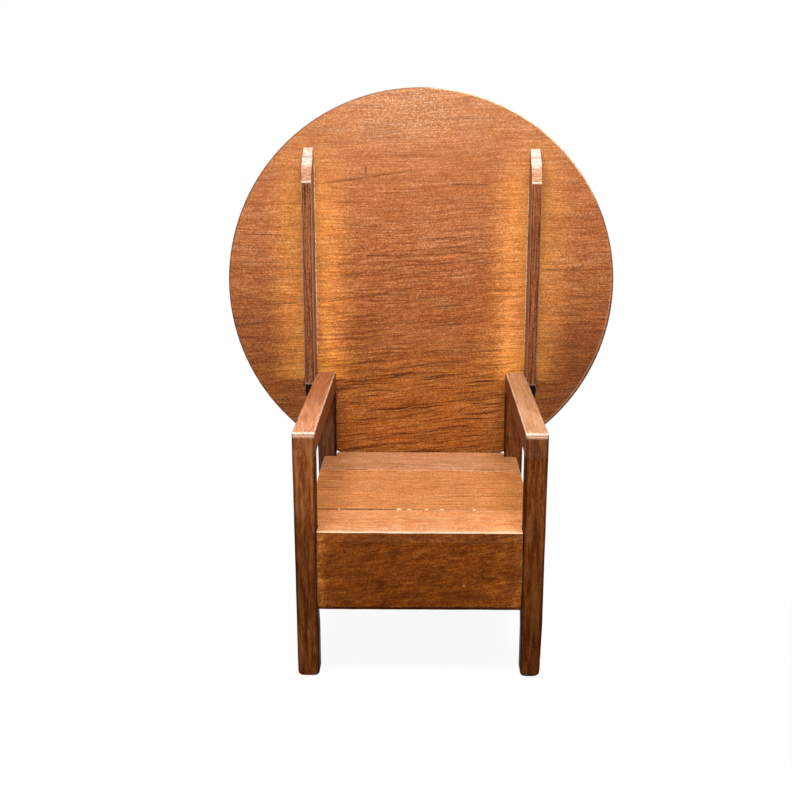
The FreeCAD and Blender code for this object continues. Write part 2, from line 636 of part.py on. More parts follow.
# ---------------------------------------------------------------- seat hinges
def hinge_leaf(label, side, toward, own_knuckles, other_knuckles):
    """A leaf let into a board's edge, with its knuckles; toward is +1 for the fixed leaf."""
    start = f"({side} * {HINGE_X} - hinge_length / 2)"
    low_y = f"({HINGE_Y} + leaf_gap)" if toward > 0 else f"({HINGE_Y} - leaf_thick)"
    high_y = f"({HINGE_Y} + leaf_thick)" if toward > 0 else f"({HINGE_Y} - leaf_gap)"
    plate = box(f"{label}_plate", (start, low_y, f"({HINGE_Z} - leaf_height)"),
                (f"({start} + hinge_length)", high_y, HINGE_Z))
    room = []
    for number in other_knuckles:
        point = (f"{start} + {number} * hinge_length / 3 - knuckle_gap / 2", HINGE_Y, HINGE_Z)
        room.append(rod(f"{label}_room_{number}", "x", point,
                        "hinge_length / 3 + knuckle_gap", "barrel_radius + barrel_room"))
    barrels = []
    for number in own_knuckles:
        point = (f"{start} + {number} * hinge_length / 3 + knuckle_gap / 2", HINGE_Y, HINGE_Z)
        barrels.append(rod(f"{label}_knuckle_{number}", "x", point,
                           "hinge_length / 3 - knuckle_gap", "barrel_radius"))
    blank = fuse(f"{label}_blank", [subtract(f"{label}_cleared", plate, room)] + barrels)
    bore = [rod(f"{label}_bore", "x", (start, HINGE_Y, HINGE_Z), "hinge_length",
                "hinge_pin_radius + hinge_play")]
    for step in (-1, 0, 1):
        point = (f"{side} * {HINGE_X} + {step} * screw_pitch",
                 f"({HINGE_Y} + {toward} * leaf_gap)", f"({HINGE_Z} - screw_drop)")
        bore.append(head(f"{label}_sink_{step + 1}", "y", toward, point,
                         "screw_head_radius + glue_gap", "screw_radius + glue_gap",
                         "screw_head_radius - screw_radius"))
        shank = (point[0], low_y, point[2])
        bore.append(rod(f"{label}_hole_{step + 1}", "y", shank, "leaf_thick",
                        "screw_radius + glue_gap"))
    keep(label, subtract(label, blank, bore))


def leaf_screws(label, toward):
    screws = []
    for name, side in SIDES.items():
        for step in (-1, 0, 1):
            point = (f"{side} * {HINGE_X} + {step} * screw_pitch",
                     f"({HINGE_Y} + {toward} * leaf_gap)", f"({HINGE_Z} - screw_drop)")
            screws.append(screw(f"{label}_{name}_{step + 1}", "y", toward, point,
                                "screw_length", "screw_radius", "screw_head_radius"))
    group(label, screws)


def hinge_pin(name, side):
    start = (f"({side} * {HINGE_X} - hinge_length / 2)", HINGE_Y, HINGE_Z)
    keep(f"hinge_pin_{name}", rod(f"hinge_pin_{name}", "x", start, "hinge_length",
                                  "hinge_pin_radius"))


# ---------------------------------------------------------------- tilting top
def batten_dowel_rows():
    return [f"({TOP_Z} + {step} * batten_dowel_pitch)" for step in (-1.5, -0.5, 0.5, 1.5)]


def table_top():
    """The round board, with blind holes for the battens' dowels."""
    body = new_body("table_top")
    drawing = sketch(body, "y", TOP_FACE)
    circles(drawing, [("0", TOP_Z)], "top_diameter / 2")
    pad(body, "y", 1, drawing, "top_thick")
    soften(body, "top_round", lambda edge, low, high: lies_at(edge, "y", low.y)
           or lies_at(edge, "y", high.y))
    drill(body, "y", 1, TOP_FACE, "top_dowel_depth + glue_gap",
          [(f"{side} * {BATTEN_MID}", height) for side in SIDES.values()
           for height in batten_dowel_rows()], "batten_dowel_radius + glue_gap")


def batten(name, side):
    """A batten with a long swelling upper end and a short round heel about the pivot."""
    low = BATTEN_IN if side > 0 else f"-{BATTEN_OUT}"
    outline = []
    for way, reach in ((-1, "batten_heel"), (1, "batten_tip")):
        face_end = f"({TOP_Z} + batten_rise + {way} * batten_flat / 2)"
        board_end = f"({face_end} + {way} * {reach})"
        swell = (f"({BATTEN_FACE} + swell_depth)", f"({face_end} + {way} * swell_length)")
        corner = [(TOP_FACE, board_end), swell, (BATTEN_FACE, face_end)]
        outline += corner if way < 0 else reversed(corner)
    body = board(f"batten_{name}", "x", low, "batten_thick", outline)

    def is_swelling(edge, low, high):
        return runs_along(edge, "x") and low.y + 1 < edge.CenterOfMass.y < high.y - 1

    soften(body, "batten_round", is_swelling)
    soften(body, "batten_arris", lambda edge, low, high: runs_along(edge, "z")
           and lies_at(edge, "y", low.y))
    drill(body, "x", 1, low, "batten_thick", [(PIVOT_Y, PIVOT_Z)], "pivot_radius + pivot_play")
    drill(body, "y", -1, TOP_FACE, "batten_dowel_depth + glue_gap",
          [(f"{side} * {BATTEN_MID}", height) for height in batten_dowel_rows()],
          "batten_dowel_radius + glue_gap")


def batten_dowels():
    dowels = []
    for name, side in SIDES.items():
        for number, height in enumerate(batten_dowel_rows()):
            point = (f"{side} * {BATTEN_MID}", f"({TOP_FACE} - batten_dowel_depth)", height)
            dowels.append(rod(f"batten_dowel_{name}_{number}", "y", point,
                              "batten_dowel_depth + top_dowel_depth", "batten_dowel_radius"))
    group("batten_dowels", dowels)


def pivot_pin(name, side):
    """A turned wooden pin through a batten into the arm, with a low round head outside."""
    label = f"pivot_pin_{name}"
    shank_end = f"({FRAME_HALF} - pivot_reach)"
    length = f"({BATTEN_OUT} - {shank_end})"
    start = shank_end if side > 0 else f"-{BATTEN_OUT}"
    shank = rod(f"{label}_shank", "x", (start, PIVOT_Y, PIVOT_Z), length, "pivot_radius")
    head_start = BATTEN_OUT if side > 0 else f"(-{BATTEN_OUT} - pivot_head_thick)"
    cap = rod(f"{label}_head", "x", (head_start, PIVOT_Y, PIVOT_Z), "pivot_head_thick",
              "pivot_head_radius")
    keep(label, fuse(label, [shank, cap]))


# ---------------------------------------------------------------- assembly
front_panel()
back_panel()
box_bottom()
bottom_cleats()
seat_cleats()
panel_dowels()
seat_rear_board()
lid_front_board()
lid_middle_board()
lid_cleat_screws()
table_top()
batten_dowels()
leaf_screws("fixed_leaf_screws", 1)
leaf_screws("lid_leaf_screws", -1)
for name, side in SIDES.items():
    front_leg(name, side)
    rear_leg(name, side)
    arm(name, side)
    side_panel(name, side)
    lid_cleat(name, side)
    hinge_leaf(f"hinge_{name}_fixed_leaf", side, 1, (0, 2), (1,))
    hinge_leaf(f"hinge_{name}_lid_leaf", side, -1, (1,), (0, 2))
    hinge_pin(name, side)
    batten(name, side)
    pivot_pin(name, side)
doc.recompute()

# ---------------------------------------------------------------- checks and files
faults = [f"{item.Label}: {item.State}" for item in doc.Objects
          if "Invalid" in item.State or "Error" in item.State]
for feature in cuts:
    if feature.Shape.isNull():
        faults.append(f"{feature.Label} has no shape")
    elif feature.Shape.Volume >= feature.BaseFeature.Shape.Volume - 1e-6:
        faults.append(f"{feature.Label} cuts nothing")
for label, thing in parts.items():
    if thing.Shape.isNull() or not thing.Shape.isValid() or not thing.Shape.Solids:
        faults.append(f"{label} has no sound solid")
if faults:
    raise RuntimeError("; ".join(faults))

os.makedirs("parts", exist_ok=True)
for label, thing in parts.items():
    thing.Shape.exportStep(f"parts/{label}.step")
    extent = thing.Shape.BoundBox
    print(f"{label}: {len(thing.Shape.Solids)} solid(s), "
          f"{extent.XLength:.1f} x {extent.YLength:.1f} x {extent.ZLength:.1f} mm")
print(f"{len(parts)} sub-parts written")
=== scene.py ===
import math
import random

import bmesh
import bpy
from mathutils import Matrix, Vector, noise


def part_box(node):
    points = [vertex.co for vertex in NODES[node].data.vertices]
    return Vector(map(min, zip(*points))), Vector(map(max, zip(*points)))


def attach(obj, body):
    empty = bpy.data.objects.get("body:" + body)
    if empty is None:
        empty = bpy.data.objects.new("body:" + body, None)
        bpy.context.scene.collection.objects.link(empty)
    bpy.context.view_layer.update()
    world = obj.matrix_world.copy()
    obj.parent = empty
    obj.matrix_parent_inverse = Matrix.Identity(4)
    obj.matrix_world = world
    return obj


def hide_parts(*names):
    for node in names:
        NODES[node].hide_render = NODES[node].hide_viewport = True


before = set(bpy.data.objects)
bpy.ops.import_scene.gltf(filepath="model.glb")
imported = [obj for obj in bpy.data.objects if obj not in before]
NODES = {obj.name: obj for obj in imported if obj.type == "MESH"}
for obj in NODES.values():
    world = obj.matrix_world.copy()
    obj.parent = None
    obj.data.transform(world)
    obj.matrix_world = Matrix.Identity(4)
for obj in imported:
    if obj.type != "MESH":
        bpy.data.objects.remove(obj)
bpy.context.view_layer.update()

# Leading places of the chair, in metres, read from the frame.
FRONT_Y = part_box("arm_left")[0].y
ARM_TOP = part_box("arm_left")[1].z
TOP_LOW, TOP_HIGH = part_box("table_top")
TOP_FACE_Y = TOP_LOW.y
TOP_Z = (TOP_LOW.z + TOP_HIGH.z) / 2
TOP_RADIUS = (TOP_HIGH.x - TOP_LOW.x) / 2
SEAT_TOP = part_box("lid_front_board")[1].z


# ---------------------------------------------------------------- node graphs
class Graph:
    """Builds one material's nodes; every method returns an output socket."""

    def __init__(self, name):
        self.material = bpy.data.materials.new(name)
        self.material.use_nodes = True
        self.tree = self.material.node_tree
        self.tree.nodes.clear()
        self.place = 0

    def node(self, kind, **settings):
        made = self.tree.nodes.new(kind)
        made.location = (220 * (self.place % 12), -240 * (self.place // 12))
        self.place += 1
        for key, value in settings.items():
            setattr(made, key, value)
        return made

    def put(self, socket, value):
        if isinstance(value, bpy.types.NodeSocket):
            self.tree.links.new(value, socket)
        else:
            socket.default_value = value

    def math(self, operation, first, second=0.0, third=None, clamp=False):
        made = self.node("ShaderNodeMath", operation=operation, use_clamp=clamp)
        self.put(made.inputs[0], first)
        self.put(made.inputs[1], second)
        if third is not None:
            self.put(made.inputs[2], third)
        return made.outputs[0]

    def add(self, first, second):
        return self.math("ADD", first, second)

    def sub(self, first, second):
        return self.math("SUBTRACT", first, second)

    def mul(self, first, second):
        return self.math("MULTIPLY", first, second)

    def low(self, first, second):
        return self.math("MINIMUM", first, second)

    def high(self, first, second):
        return self.math("MAXIMUM", first, second)

    def gauss(self, value, centre, width):
        """A bell of height 1 about centre."""
        offset = self.math("DIVIDE", self.sub(value, centre), width)
        return self.math("EXPONENT", self.mul(self.mul(offset, offset), -1.0))

    def ramp(self, value, start, end, low=0.0, high=1.0, smooth=True):
        """A value carried from start..end to low..high, held at both ends."""
        made = self.node("ShaderNodeMapRange",
                         interpolation_type="SMOOTHSTEP" if smooth else "LINEAR")
        for socket, number in zip(made.inputs[:5], (value, start, end, low, high)):
            self.put(socket, number)
        return made.outputs[0]

    def noise(self, vector, detail=2.0, roughness=0.5, distortion=0.0):
        made = self.node("ShaderNodeTexNoise", noise_dimensions="3D")
        self.put(made.inputs["Vector"], vector)
        self.put(made.inputs["Scale"], 1.0)
        self.put(made.inputs["Detail"], detail)
        self.put(made.inputs["Roughness"], roughness)
        self.put(made.inputs["Distortion"], distortion)
        return made.outputs[0]

    def vector(self, x, y, z):
        made = self.node("ShaderNodeCombineXYZ")
        for socket, value in zip(made.inputs, (x, y, z)):
            self.put(socket, value)
        return made.outputs[0]

    def mix(self, share, first, second, blend="MIX"):
        """Mix two colours; a colour is a triple or a socket."""
        made = self.node("ShaderNodeMix", data_type="RGBA", blend_type=blend)
        self.put(made.inputs[0], share)
        for socket, value in ((made.inputs[6], first), (made.inputs[7], second)):
            self.put(socket, value if isinstance(value, bpy.types.NodeSocket) else (*value, 1.0))
        return made.outputs[2]

    def palette(self, value, stops):
        """A colour ramp through (position, colour) stops."""
        made = self.node("ShaderNodeValToRGB")
        elements = made.color_ramp.elements
        while len(elements) < len(stops):
            elements.new(0.5)
        for element, (position, colour) in zip(elements, stops):
            element.position = position
            element.color = (*colour, 1.0)
        self.put(made.inputs[0], value)
        return made.outputs[0]

    def object_place(self):
        """The three coordinates of the shaded point in the chair's frame, in metres."""
        coordinates = self.node("ShaderNodeTexCoord").outputs["Object"]
        split = self.node("ShaderNodeSeparateXYZ")
        self.put(split.inputs[0], coordinates)
        return [split.outputs[index] for index in range(3)]

    def object_normal(self):
        """The three parts of the surface normal in the chair's frame."""
        split = self.node("ShaderNodeSeparateXYZ")
        self.put(split.inputs[0], self.node("ShaderNodeTexCoord").outputs["Normal"])
        return [split.outputs[index] for index in range(3)]


def grain_vector(graph, along, across, depth, sizes, shift=0.0):
    """Noise coordinates for features of the given size, in millimetres, along and across the grain."""
    long_mm, wide_mm = sizes
    return graph.vector(graph.add(graph.mul(along, 1000.0 / long_mm), shift),
                        graph.mul(across, 1000.0 / wide_mm),
                        graph.mul(depth, 1000.0 / wide_mm))


def crisp(graph, vector, detail, spread, roughness=0.55):
    """Noise stretched to run from -0.5 to 0.5 over the given spread about its middle."""
    raw = graph.noise(vector, detail, roughness)
    return graph.ramp(raw, 0.5 - spread, 0.5 + spread, -0.5, 0.5)


def lenses(graph, along, across, depth, cell, share, shift, reach=0.40):
    """Long tapered marks, one in each cell of the given size (mm), in a share of the cells."""
    marks = graph.node("ShaderNodeTexVoronoi", voronoi_dimensions="2D", feature="F1")
    long_mm, wide_mm = cell
    level = graph.add(across, graph.mul(depth, 0.35))
    graph.put(marks.inputs["Vector"], graph.vector(
        graph.add(graph.mul(along, 1000.0 / long_mm), shift), graph.mul(level, 1000.0 / wide_mm),
        0.0))
    graph.put(marks.inputs["Scale"], 1.0)
    split = graph.node("ShaderNodeSeparateColor")
    graph.put(split.inputs[0], marks.outputs["Color"])
    size = graph.ramp(split.outputs[1], 0.0, 1.0, 0.45, 1.0, smooth=False)
    distance = graph.math("DIVIDE", marks.outputs["Distance"], size)
    body = graph.ramp(distance, reach * 0.30, reach, 1.0, 0.0)
    chosen = graph.math("LESS_THAN", split.outputs[0], share)
    return graph.mul(graph.mul(body, chosen), graph.ramp(split.outputs[2], 0.0, 1.0, 0.40, 1.0))


def threads(graph, along, across, depth, sizes, low, high, shift, detail=1.0):
    """Long thin broken lines along the grain, where finely stretched noise rises over a level."""
    vector = grain_vector(graph, along, across, depth, sizes, shift)
    return graph.ramp(graph.noise(vector, detail, 0.5), low, high)


def face_gap(graph, value, low, high):
    """Distance of a coordinate from the nearer of two planes, in metres."""
    return graph.low(graph.math("ABSOLUTE", graph.sub(value, low)),
                     graph.math("ABSOLUTE", graph.sub(high, value)))


def blotch(graph, place, sizes, low, high, shift=0.0):
    """A ragged mask from noise of the given sizes in millimetres along x, y and z."""
    vector = graph.vector(*(graph.add(graph.mul(value, 1000.0 / size), shift)
                            for value, size in zip(place, sizes)))
    return graph.ramp(graph.noise(vector, 4.0, 0.62), low, high)


def tint(graph, share, colour, factor):
    """Multiply a colour by a factor, by the given share."""
    return graph.mix(share, colour, graph.mix(1.0, colour, factor, "MULTIPLY"))


def wood_colour(graph, place, grain_axis, seed, tones, figure=1.0, speckle=1.0, streak=0.6,
                streak_share=0.28, streak_cell=(300, 8), hair=0.40, lines=0.5, tilt=0.0,
                coarse=1.0):
    """Colour, relief and cloud of polished mahogany: fibres, pores, tapered dark streaks, figure.

    tones are three linear colours, dark to light; coarse widens every feature across the grain.
    """
    order = {"x": (0, 2, 1), "y": (1, 0, 2), "z": (2, 0, 1)}[grain_axis]
    if coarse != 1.0:
        order = {"x": (0, 1, 2), "y": (1, 0, 2), "z": (2, 0, 1)}[grain_axis]
    along, across, depth = (place[index] for index in order)
    shift = seed * 7.31

    # The grain wanders across the board, and rises along it by the tilt.
    sway = graph.noise(grain_vector(graph, along, across, depth, (380, 150), shift), 2.0)
    across = graph.add(across, graph.mul(graph.sub(sway, 0.5), 0.05))
    across = graph.sub(across, tilt(graph, place, along) if callable(tilt)
                       else graph.mul(along, tilt))

    def grain(long_mm, wide_mm, detail, spread, offset):
        return crisp(graph, grain_vector(graph, along, across, depth, (long_mm, wide_mm * coarse),
                                         shift + offset), detail, spread)

    def lined(long_mm, wide_mm, low, high, offset):
        return threads(graph, along, across, depth, (long_mm, wide_mm * coarse), low, high,
                       shift + offset)

    fibre = grain(56, 3.4, 2.0, 0.16, 0)
    medium = grain(240, 7.0, 2.0, 0.22, 3)
    broad = grain(420, 50, 3.0, 0.26, 9)
    cloud = grain(150, 80, 2.0, 0.28, 17)
    grit = crisp(graph, grain_vector(graph, along, across, depth, (4.4, 3.8), shift + 5), 1.0, 0.15)
    value = graph.add(0.5, graph.mul(fibre, 0.32 * speckle))
    for part, weight in ((medium, 0.26 * figure), (broad, 0.18 * figure), (cloud, 0.14 * figure),
                         (grit, 0.47 * speckle)):
        value = graph.add(value, graph.mul(part, weight))
    colour = graph.palette(value, [(0.05, tones[0]), (0.5, tones[1]), (0.95, tones[2])])

    # Tapered dark streaks, long thin dark lines, fine hairs, and pale hairs between them.
    cell = (streak_cell[0], streak_cell[1] * coarse)
    dark = graph.mul(lenses(graph, along, across, depth, cell, streak_share, shift), streak)
    fine = lenses(graph, along, across, depth, (90, 3.8 * coarse), 0.45, shift + 2.7)
    dark = graph.high(dark, graph.mul(fine, hair))
    dark = graph.high(dark, graph.mul(lined(520, 5.5, 0.615, 0.70, 23.0), lines))
    dark = graph.high(dark, graph.mul(lined(170, 4.2, 0.62, 0.71, 31.0), lines * 0.8))
    colour = tint(graph, dark, colour, (0.37, 0.27, 0.17))
    pale = graph.high(lenses(graph, along, across, depth, (42, 4.6 * coarse), 0.25, shift + 6.1),
                      lined(120, 4.0, 0.61, 0.72, 37.0))
    colour = tint(graph, graph.mul(pale, 0.45 * speckle), colour, (1.55, 1.75, 2.0))

    # Small shifts of hue between redder and yellower wood.
    for long_mm, wide_mm, offset, share in ((11, 5.0, 43, 0.75), (90, 16, 57, 0.45)):
        hue = graph.noise(grain_vector(graph, along, across, depth, (long_mm, wide_mm),
                                       shift + offset), 2.0, 0.6)
        colour = tint(graph, graph.mul(graph.ramp(hue, 0.50, 0.66), share), colour,
                      (0.98, 1.10, 1.36))
        colour = tint(graph, graph.mul(graph.ramp(hue, 0.50, 0.34), share), colour,
                      (1.02, 0.90, 0.68))
    relief = graph.add(graph.mul(fibre, 0.35), graph.mul(grit, 0.35))
    relief = graph.sub(relief, graph.mul(dark, 0.7))
    relief = graph.add(relief, graph.mul(cloud, 0.9))
    return colour, relief, cloud, dark


def wood(name, grain_axis, seed, tones, local=None, roughness=0.40, specular=0.12, coat=0.0,
         bump=0.45, **grain):
    """A polished wood; local(graph, place, colour, gloss) may change colour and gloss by place."""
    graph = Graph(name)
    place = graph.object_place()
    colour, relief, cloud, dark = wood_colour(graph, place, grain_axis, seed, tones, **grain)
    gloss = graph.add(roughness, graph.mul(cloud, 0.10))
    gloss = graph.add(gloss, graph.mul(dark, 0.12))
    if local:
        colour, gloss = local(graph, place, colour, gloss)
        colour = graph.mix(1.0, colour, (1.0, 1.0, 1.0), "DARKEN")
    finish_surface(graph, colour, gloss, relief, bump, specular, coat)
    return graph.material


def mark(graph, u, v, start, end, wide):
    """A fine straight mark between two points of a face, tapered at both ends."""
    (u0, v0), (u1, v1) = start, end
    length = math.hypot(u1 - u0, v1 - v0)
    du, dv = (u1 - u0) / length, (v1 - v0) / length
    along = graph.add(graph.mul(graph.sub(u, u0), du), graph.mul(graph.sub(v, v0), dv))
    off = graph.sub(graph.mul(graph.sub(v, v0), du), graph.mul(graph.sub(u, u0), dv))
    middle = graph.math("ABSOLUTE", graph.sub(along, length / 2))
    reach = graph.ramp(middle, length * 0.30, length * 0.5, 1.0, 0.0)
    return graph.mul(graph.gauss(off, 0.0, wide), reach)


def finish_surface(graph, colour, gloss, relief, bump, specular, coat, metallic=0.0):
    ripple = graph.node("ShaderNodeBump")
    graph.put(ripple.inputs["Strength"], bump)
    graph.put(ripple.inputs["Distance"], 0.0006)
    graph.put(ripple.inputs["Height"], relief)
    shader = graph.node("ShaderNodeBsdfPrincipled")
    graph.put(shader.inputs["Base Color"], colour)
    graph.put(shader.inputs["Roughness"], gloss)
    graph.put(shader.inputs["Specular IOR Level"], specular)
    graph.put(shader.inputs["Coat Weight"], coat)
    graph.put(shader.inputs["Coat Roughness"], 0.16)
    graph.put(shader.inputs["Metallic"], metallic)
    graph.put(shader.inputs["Normal"], ripple.outputs[0])
    output = graph.node("ShaderNodeOutputMaterial")
    graph.put(output.inputs["Surface"], shader.outputs[0])


def dress(names, material):
    for name in names:
        slots = NODES[name].data.materials
        slots.clear()
        slots.append(material)


# ---------------------------------------------------------------- worn pieces
MM = 0.001
CORNER_STEPS = 4


def waver(place, wave, seed):
    """A smooth random value from -1 to 1 along a length."""
    return max(-1.0, min(1.0, 1.4 * noise.noise(Vector((place / wave, seed * 3.17, seed * 1.31)))))


def ring(low_u, high_u, low_v, high_v, radii):
    """A closed rounded rectangle; radii run round the corners from (low u, low v)."""
    corners = ((low_u, low_v, 1, 1, 180), (high_u, low_v, -1, 1, 270),
               (high_u, high_v, -1, -1, 0), (low_u, high_v, 1, -1, 90))
    points = []
    for (u, v, du, dv, start), radius in zip(corners, radii):
        for step in range(CORNER_STEPS + 1):
            angle = math.radians(start + 90.0 * step / CORNER_STEPS)
            points.append((u + du * radius + radius * math.cos(angle),
                           v + dv * radius + radius * math.sin(angle)))
    return points


def loft(name, axis, sections):
    """A closed object through rings of equal length, each at its place along the axis."""
    across, up = [index for index in range(3) if index != axis]
    shape = bmesh.new()
    rings = []
    for station, outline in sections:
        row = []
        for u, v in outline:
            point = Vector((0.0, 0.0, 0.0))
            point[axis], point[across], point[up] = station, u, v
            row.append(shape.verts.new(point))
        rings.append(row)
    for first, second in zip(rings, rings[1:]):
        for index, corner in enumerate(first):
            after = (index + 1) % len(first)
            shape.faces.new((corner, first[after], second[after], second[index]))
    shape.faces.new(rings[0])
    shape.faces.new(rings[-1])
    return finish_mesh(name, shape)


def finish_mesh(name, shape):
    bmesh.ops.recalc_face_normals(shape, faces=shape.faces)
    for face in shape.faces:
        face.smooth = True
    mesh = bpy.data.meshes.new(name)
    shape.to_mesh(mesh)
    shape.free()
    piece = bpy.data.objects.new(name, mesh)
    bpy.context.scene.collection.objects.link(piece)
    even = piece.modifiers.new("even faces", "WEIGHTED_NORMAL")
    even.weight = 100
    return piece


def stations(low, high, pitch, end_low, end_high, steps=4):
    """Places along a piece, close together at the rounded ends, with the inset each has there."""
    rows = []
    for step in range(steps + 1):
        angle = math.radians(90.0 * step / steps)
        rows.append((low + end_low * (1 - math.cos(angle)), end_low * (1 - math.sin(angle))))
    count = max(2, round((high - end_high - low - end_low) / pitch))
    for step in range(1, count):
        rows.append((low + end_low + (high - end_high - low - end_low) * step / count, 0.0))
    for step in range(steps, -1, -1):
        angle = math.radians(90.0 * step / steps)
        rows.append((high - end_high * (1 - math.cos(angle)), end_high * (1 - math.sin(angle))))
    return rows


def worn(place, seed, deep=0.8 * MM, fine=0.25 * MM):
    """How far a hand-worked face lies inside its true plane at a place along it."""
    slow = 0.5 + 0.5 * waver(place, 0.130, seed)
    quick = 0.5 + 0.5 * waver(place, 0.021, seed + 40.0)
    return deep * slow + fine * quick


def take_place(piece, material, body, slot, *nodes):
    piece.data.materials.append(material)
    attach(piece, body)
    if nodes:
        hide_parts(*nodes)
    return piece


def worn_leg(name, node, seed):
    """A leg with rounded edges that wander a little, and a foot worn round at the bottom."""
    low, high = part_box(node)
    side = 1 if low.x > 0 else -1
    outer_top = max(abs(low.x), abs(high.x))
    inner = min(abs(low.x), abs(high.x))
    top = LEG_TOP
    out_lean, in_lean = LEG_LEAN.get(name, (0.0, 0.0))
    sections = []
    for z, inset in stations(low.z, top, 9 * MM, FOOT_ROUND, 0.01 * MM):
        calm = min(1.0, max(0.0, (top - z) / (70 * MM)))
        low_down = min(1.0, max(0.0, 1 - z / (190 * MM)) * 4.0)
        outer = outer_top - LEG_TAPER * (1 - z / top) - inset - calm * worn(z, seed, 0.9 * MM)
        outer += out_lean * (1 - z / top)
        outer -= FOOT_WEAR.get(name, 0.0) * max(0.0, 1 - z / (160 * MM))
        near = inner + inset + calm * worn(z, seed + 1, 0.7 * MM) + in_lean * low_down
        front = low.y + inset + calm * worn(z, seed + 2, 0.7 * MM)
        back = high.y - inset - calm * worn(z, seed + 3, 0.7 * MM)
        radii = [LEG_ROUND * (1 + 0.18 * calm * waver(z, 0.05, seed + 5 + k)) for k in range(4)]
        ends = (near, outer) if side > 0 else (-outer, -near)
        sections.append((z, ring(*ends, front, back, radii)))
    return loft(name, 2, sections)


NOSE = ((0.0, 12.5), (0.7, 9.2), (1.9, 7.4), (3.0, 6.7), (4.2, 4.6), (6.0, 2.5), (8.5, 0.9),
        (12.0, 0.0))


def worn_arm(name, node, seed):
    """An arm: a two-stepped nose in front, sides rounded like the leg's, a round rear corner."""
    low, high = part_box(node)
    side = 1 if low.x > 0 else -1
    rear = 32 * MM
    sections = []
    places = [(low.y + step * MM, drop * MM) for step, drop in NOSE]
    count = 80
    start, end = low.y + 12 * MM, high.y - rear
    places += [(start + (end - start) * k / count, 0.0) for k in range(1, count)]
    for k in range(11):
        angle = math.radians(9.0 * k)
        places.append((end + rear * math.sin(angle), rear * (1 - math.cos(angle))))
    for y, drop in places:
        s = y - low.y
        calm = min(1.0, max(0.0, (s - 15 * MM) / (60 * MM)))
        plan = LEG_ROUND - math.sqrt(max(0.0, LEG_ROUND ** 2 - max(0.0, LEG_ROUND - s) ** 2))
        tail = max(0.0, s - (high.y - low.y) + 1.5 * MM)
        outer = high.x if side > 0 else low.x
        near = low.x if side > 0 else high.x
        outer -= side * (plan + tail + calm * worn(y, seed, 0.7 * MM))
        near += side * (plan + tail + calm * worn(y, seed + 1, 0.9 * MM))
        top = high.z - drop - calm * worn(y, seed + 2, 0.5 * MM)
        under = 0.6 * MM if s < 60 * MM or s > 700 * MM else 3 * MM
        edge = [3.2 * MM * (1 + 0.35 * calm * waver(y, 0.035, seed + 5 + k)) for k in range(2)]
        ends = sorted((near, outer))
        sections.append((y, ring(*ends, low.z, top, (under, under, edge[0], edge[1]))))
    return loft(name, 1, sections)


def worn_panel(name, node, seed, edge=1.4 * MM, deep=0.4 * MM, axis=0):
    """A board whose edges are eased by hand."""
    low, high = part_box(node)
    across, up = [index for index in range(3) if index != axis]
    sections = []
    for place, inset in stations(low[axis], high[axis], 9 * MM, edge, edge):
        radii = [max(0.4 * MM, edge * (1 + 0.5 * waver(place, 0.03, seed + 5 + k))) for k in range(4)]
        radii[2] = radii[3] = 0.15 * MM
        inset = min(inset, 0.5 * MM)
        sections.append((place, ring(low[across] + inset + worn(place, seed, deep),
                                     high[across] - inset - worn(place, seed + 1, deep),
                                     low[up] + inset + worn(place, seed + 2, deep),
                                     high[up] - 0.05 * MM, radii)))
    return loft(name, axis, sections)


def batten_face(face, board, straight, swell, end):
    """Points of one batten end, from its straight face over the swell to the round top."""
    start, corner, finish = (Vector(point) for point in ((face, straight), swell, (board, end)))
    first, second = (corner - start).normalized(), (finish - corner).normalized()
    reach = BATTEN_ROUND * math.tan(first.angle(second) / 2)
    before, after = corner - first * reach, corner + second * reach
    points = [start, (start + before) / 2]
    for step in range(11):
        t = step / 10
        points.append(before * (1 - t) ** 2 + corner * 2 * t * (1 - t) + after * t ** 2)
    points.append((after + finish) / 2)
    points.append(finish)
    return points


def worn_batten(name, node, seed):
    """A batten with a swelling upper end and a short heel, its long edges eased by hand."""
    low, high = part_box(node)
    face, back = low.y, high.y
    straight_low, straight_high = low.z + BATTEN_HEEL, high.z - BATTEN_TIP
    heel = batten_face(face, back, straight_low,
                       (face + SWELL_DEPTH, straight_low - SWELL_LENGTH), low.z)
    tip = batten_face(face, back, straight_high,
                      (face + SWELL_DEPTH, straight_high + SWELL_LENGTH), high.z)
    places = [(point.y, point.x) for point in reversed(heel)]
    count = 64
    places += [(straight_low + (straight_high - straight_low) * k / count, face)
               for k in range(1, count)]
    places += [(point.y, point.x) for point in tip]
    sections = []
    for z, front in places:
        end = min(1.0, (back - front) / (12 * MM))
        front = min(front, back - 1.2 * MM)
        left = low.x + worn(z, seed, 0.9 * MM) + (1 - end) * 2.5 * MM
        right = high.x - worn(z, seed + 1, 0.9 * MM) - (1 - end) * 2.5 * MM
        radii = [min(0.4 * (back - front), 2.6 * MM * (1 + 0.4 * waver(z, 0.04, seed + 5 + k)))
                 for k in range(2)]
        sections.append((z, ring(left, right, front + worn(z, seed + 2, 0.4 * MM) * end, back,
                                 (radii[0], radii[1], 0.3 * MM, 0.3 * MM))))
    return loft(name, 2, sections)


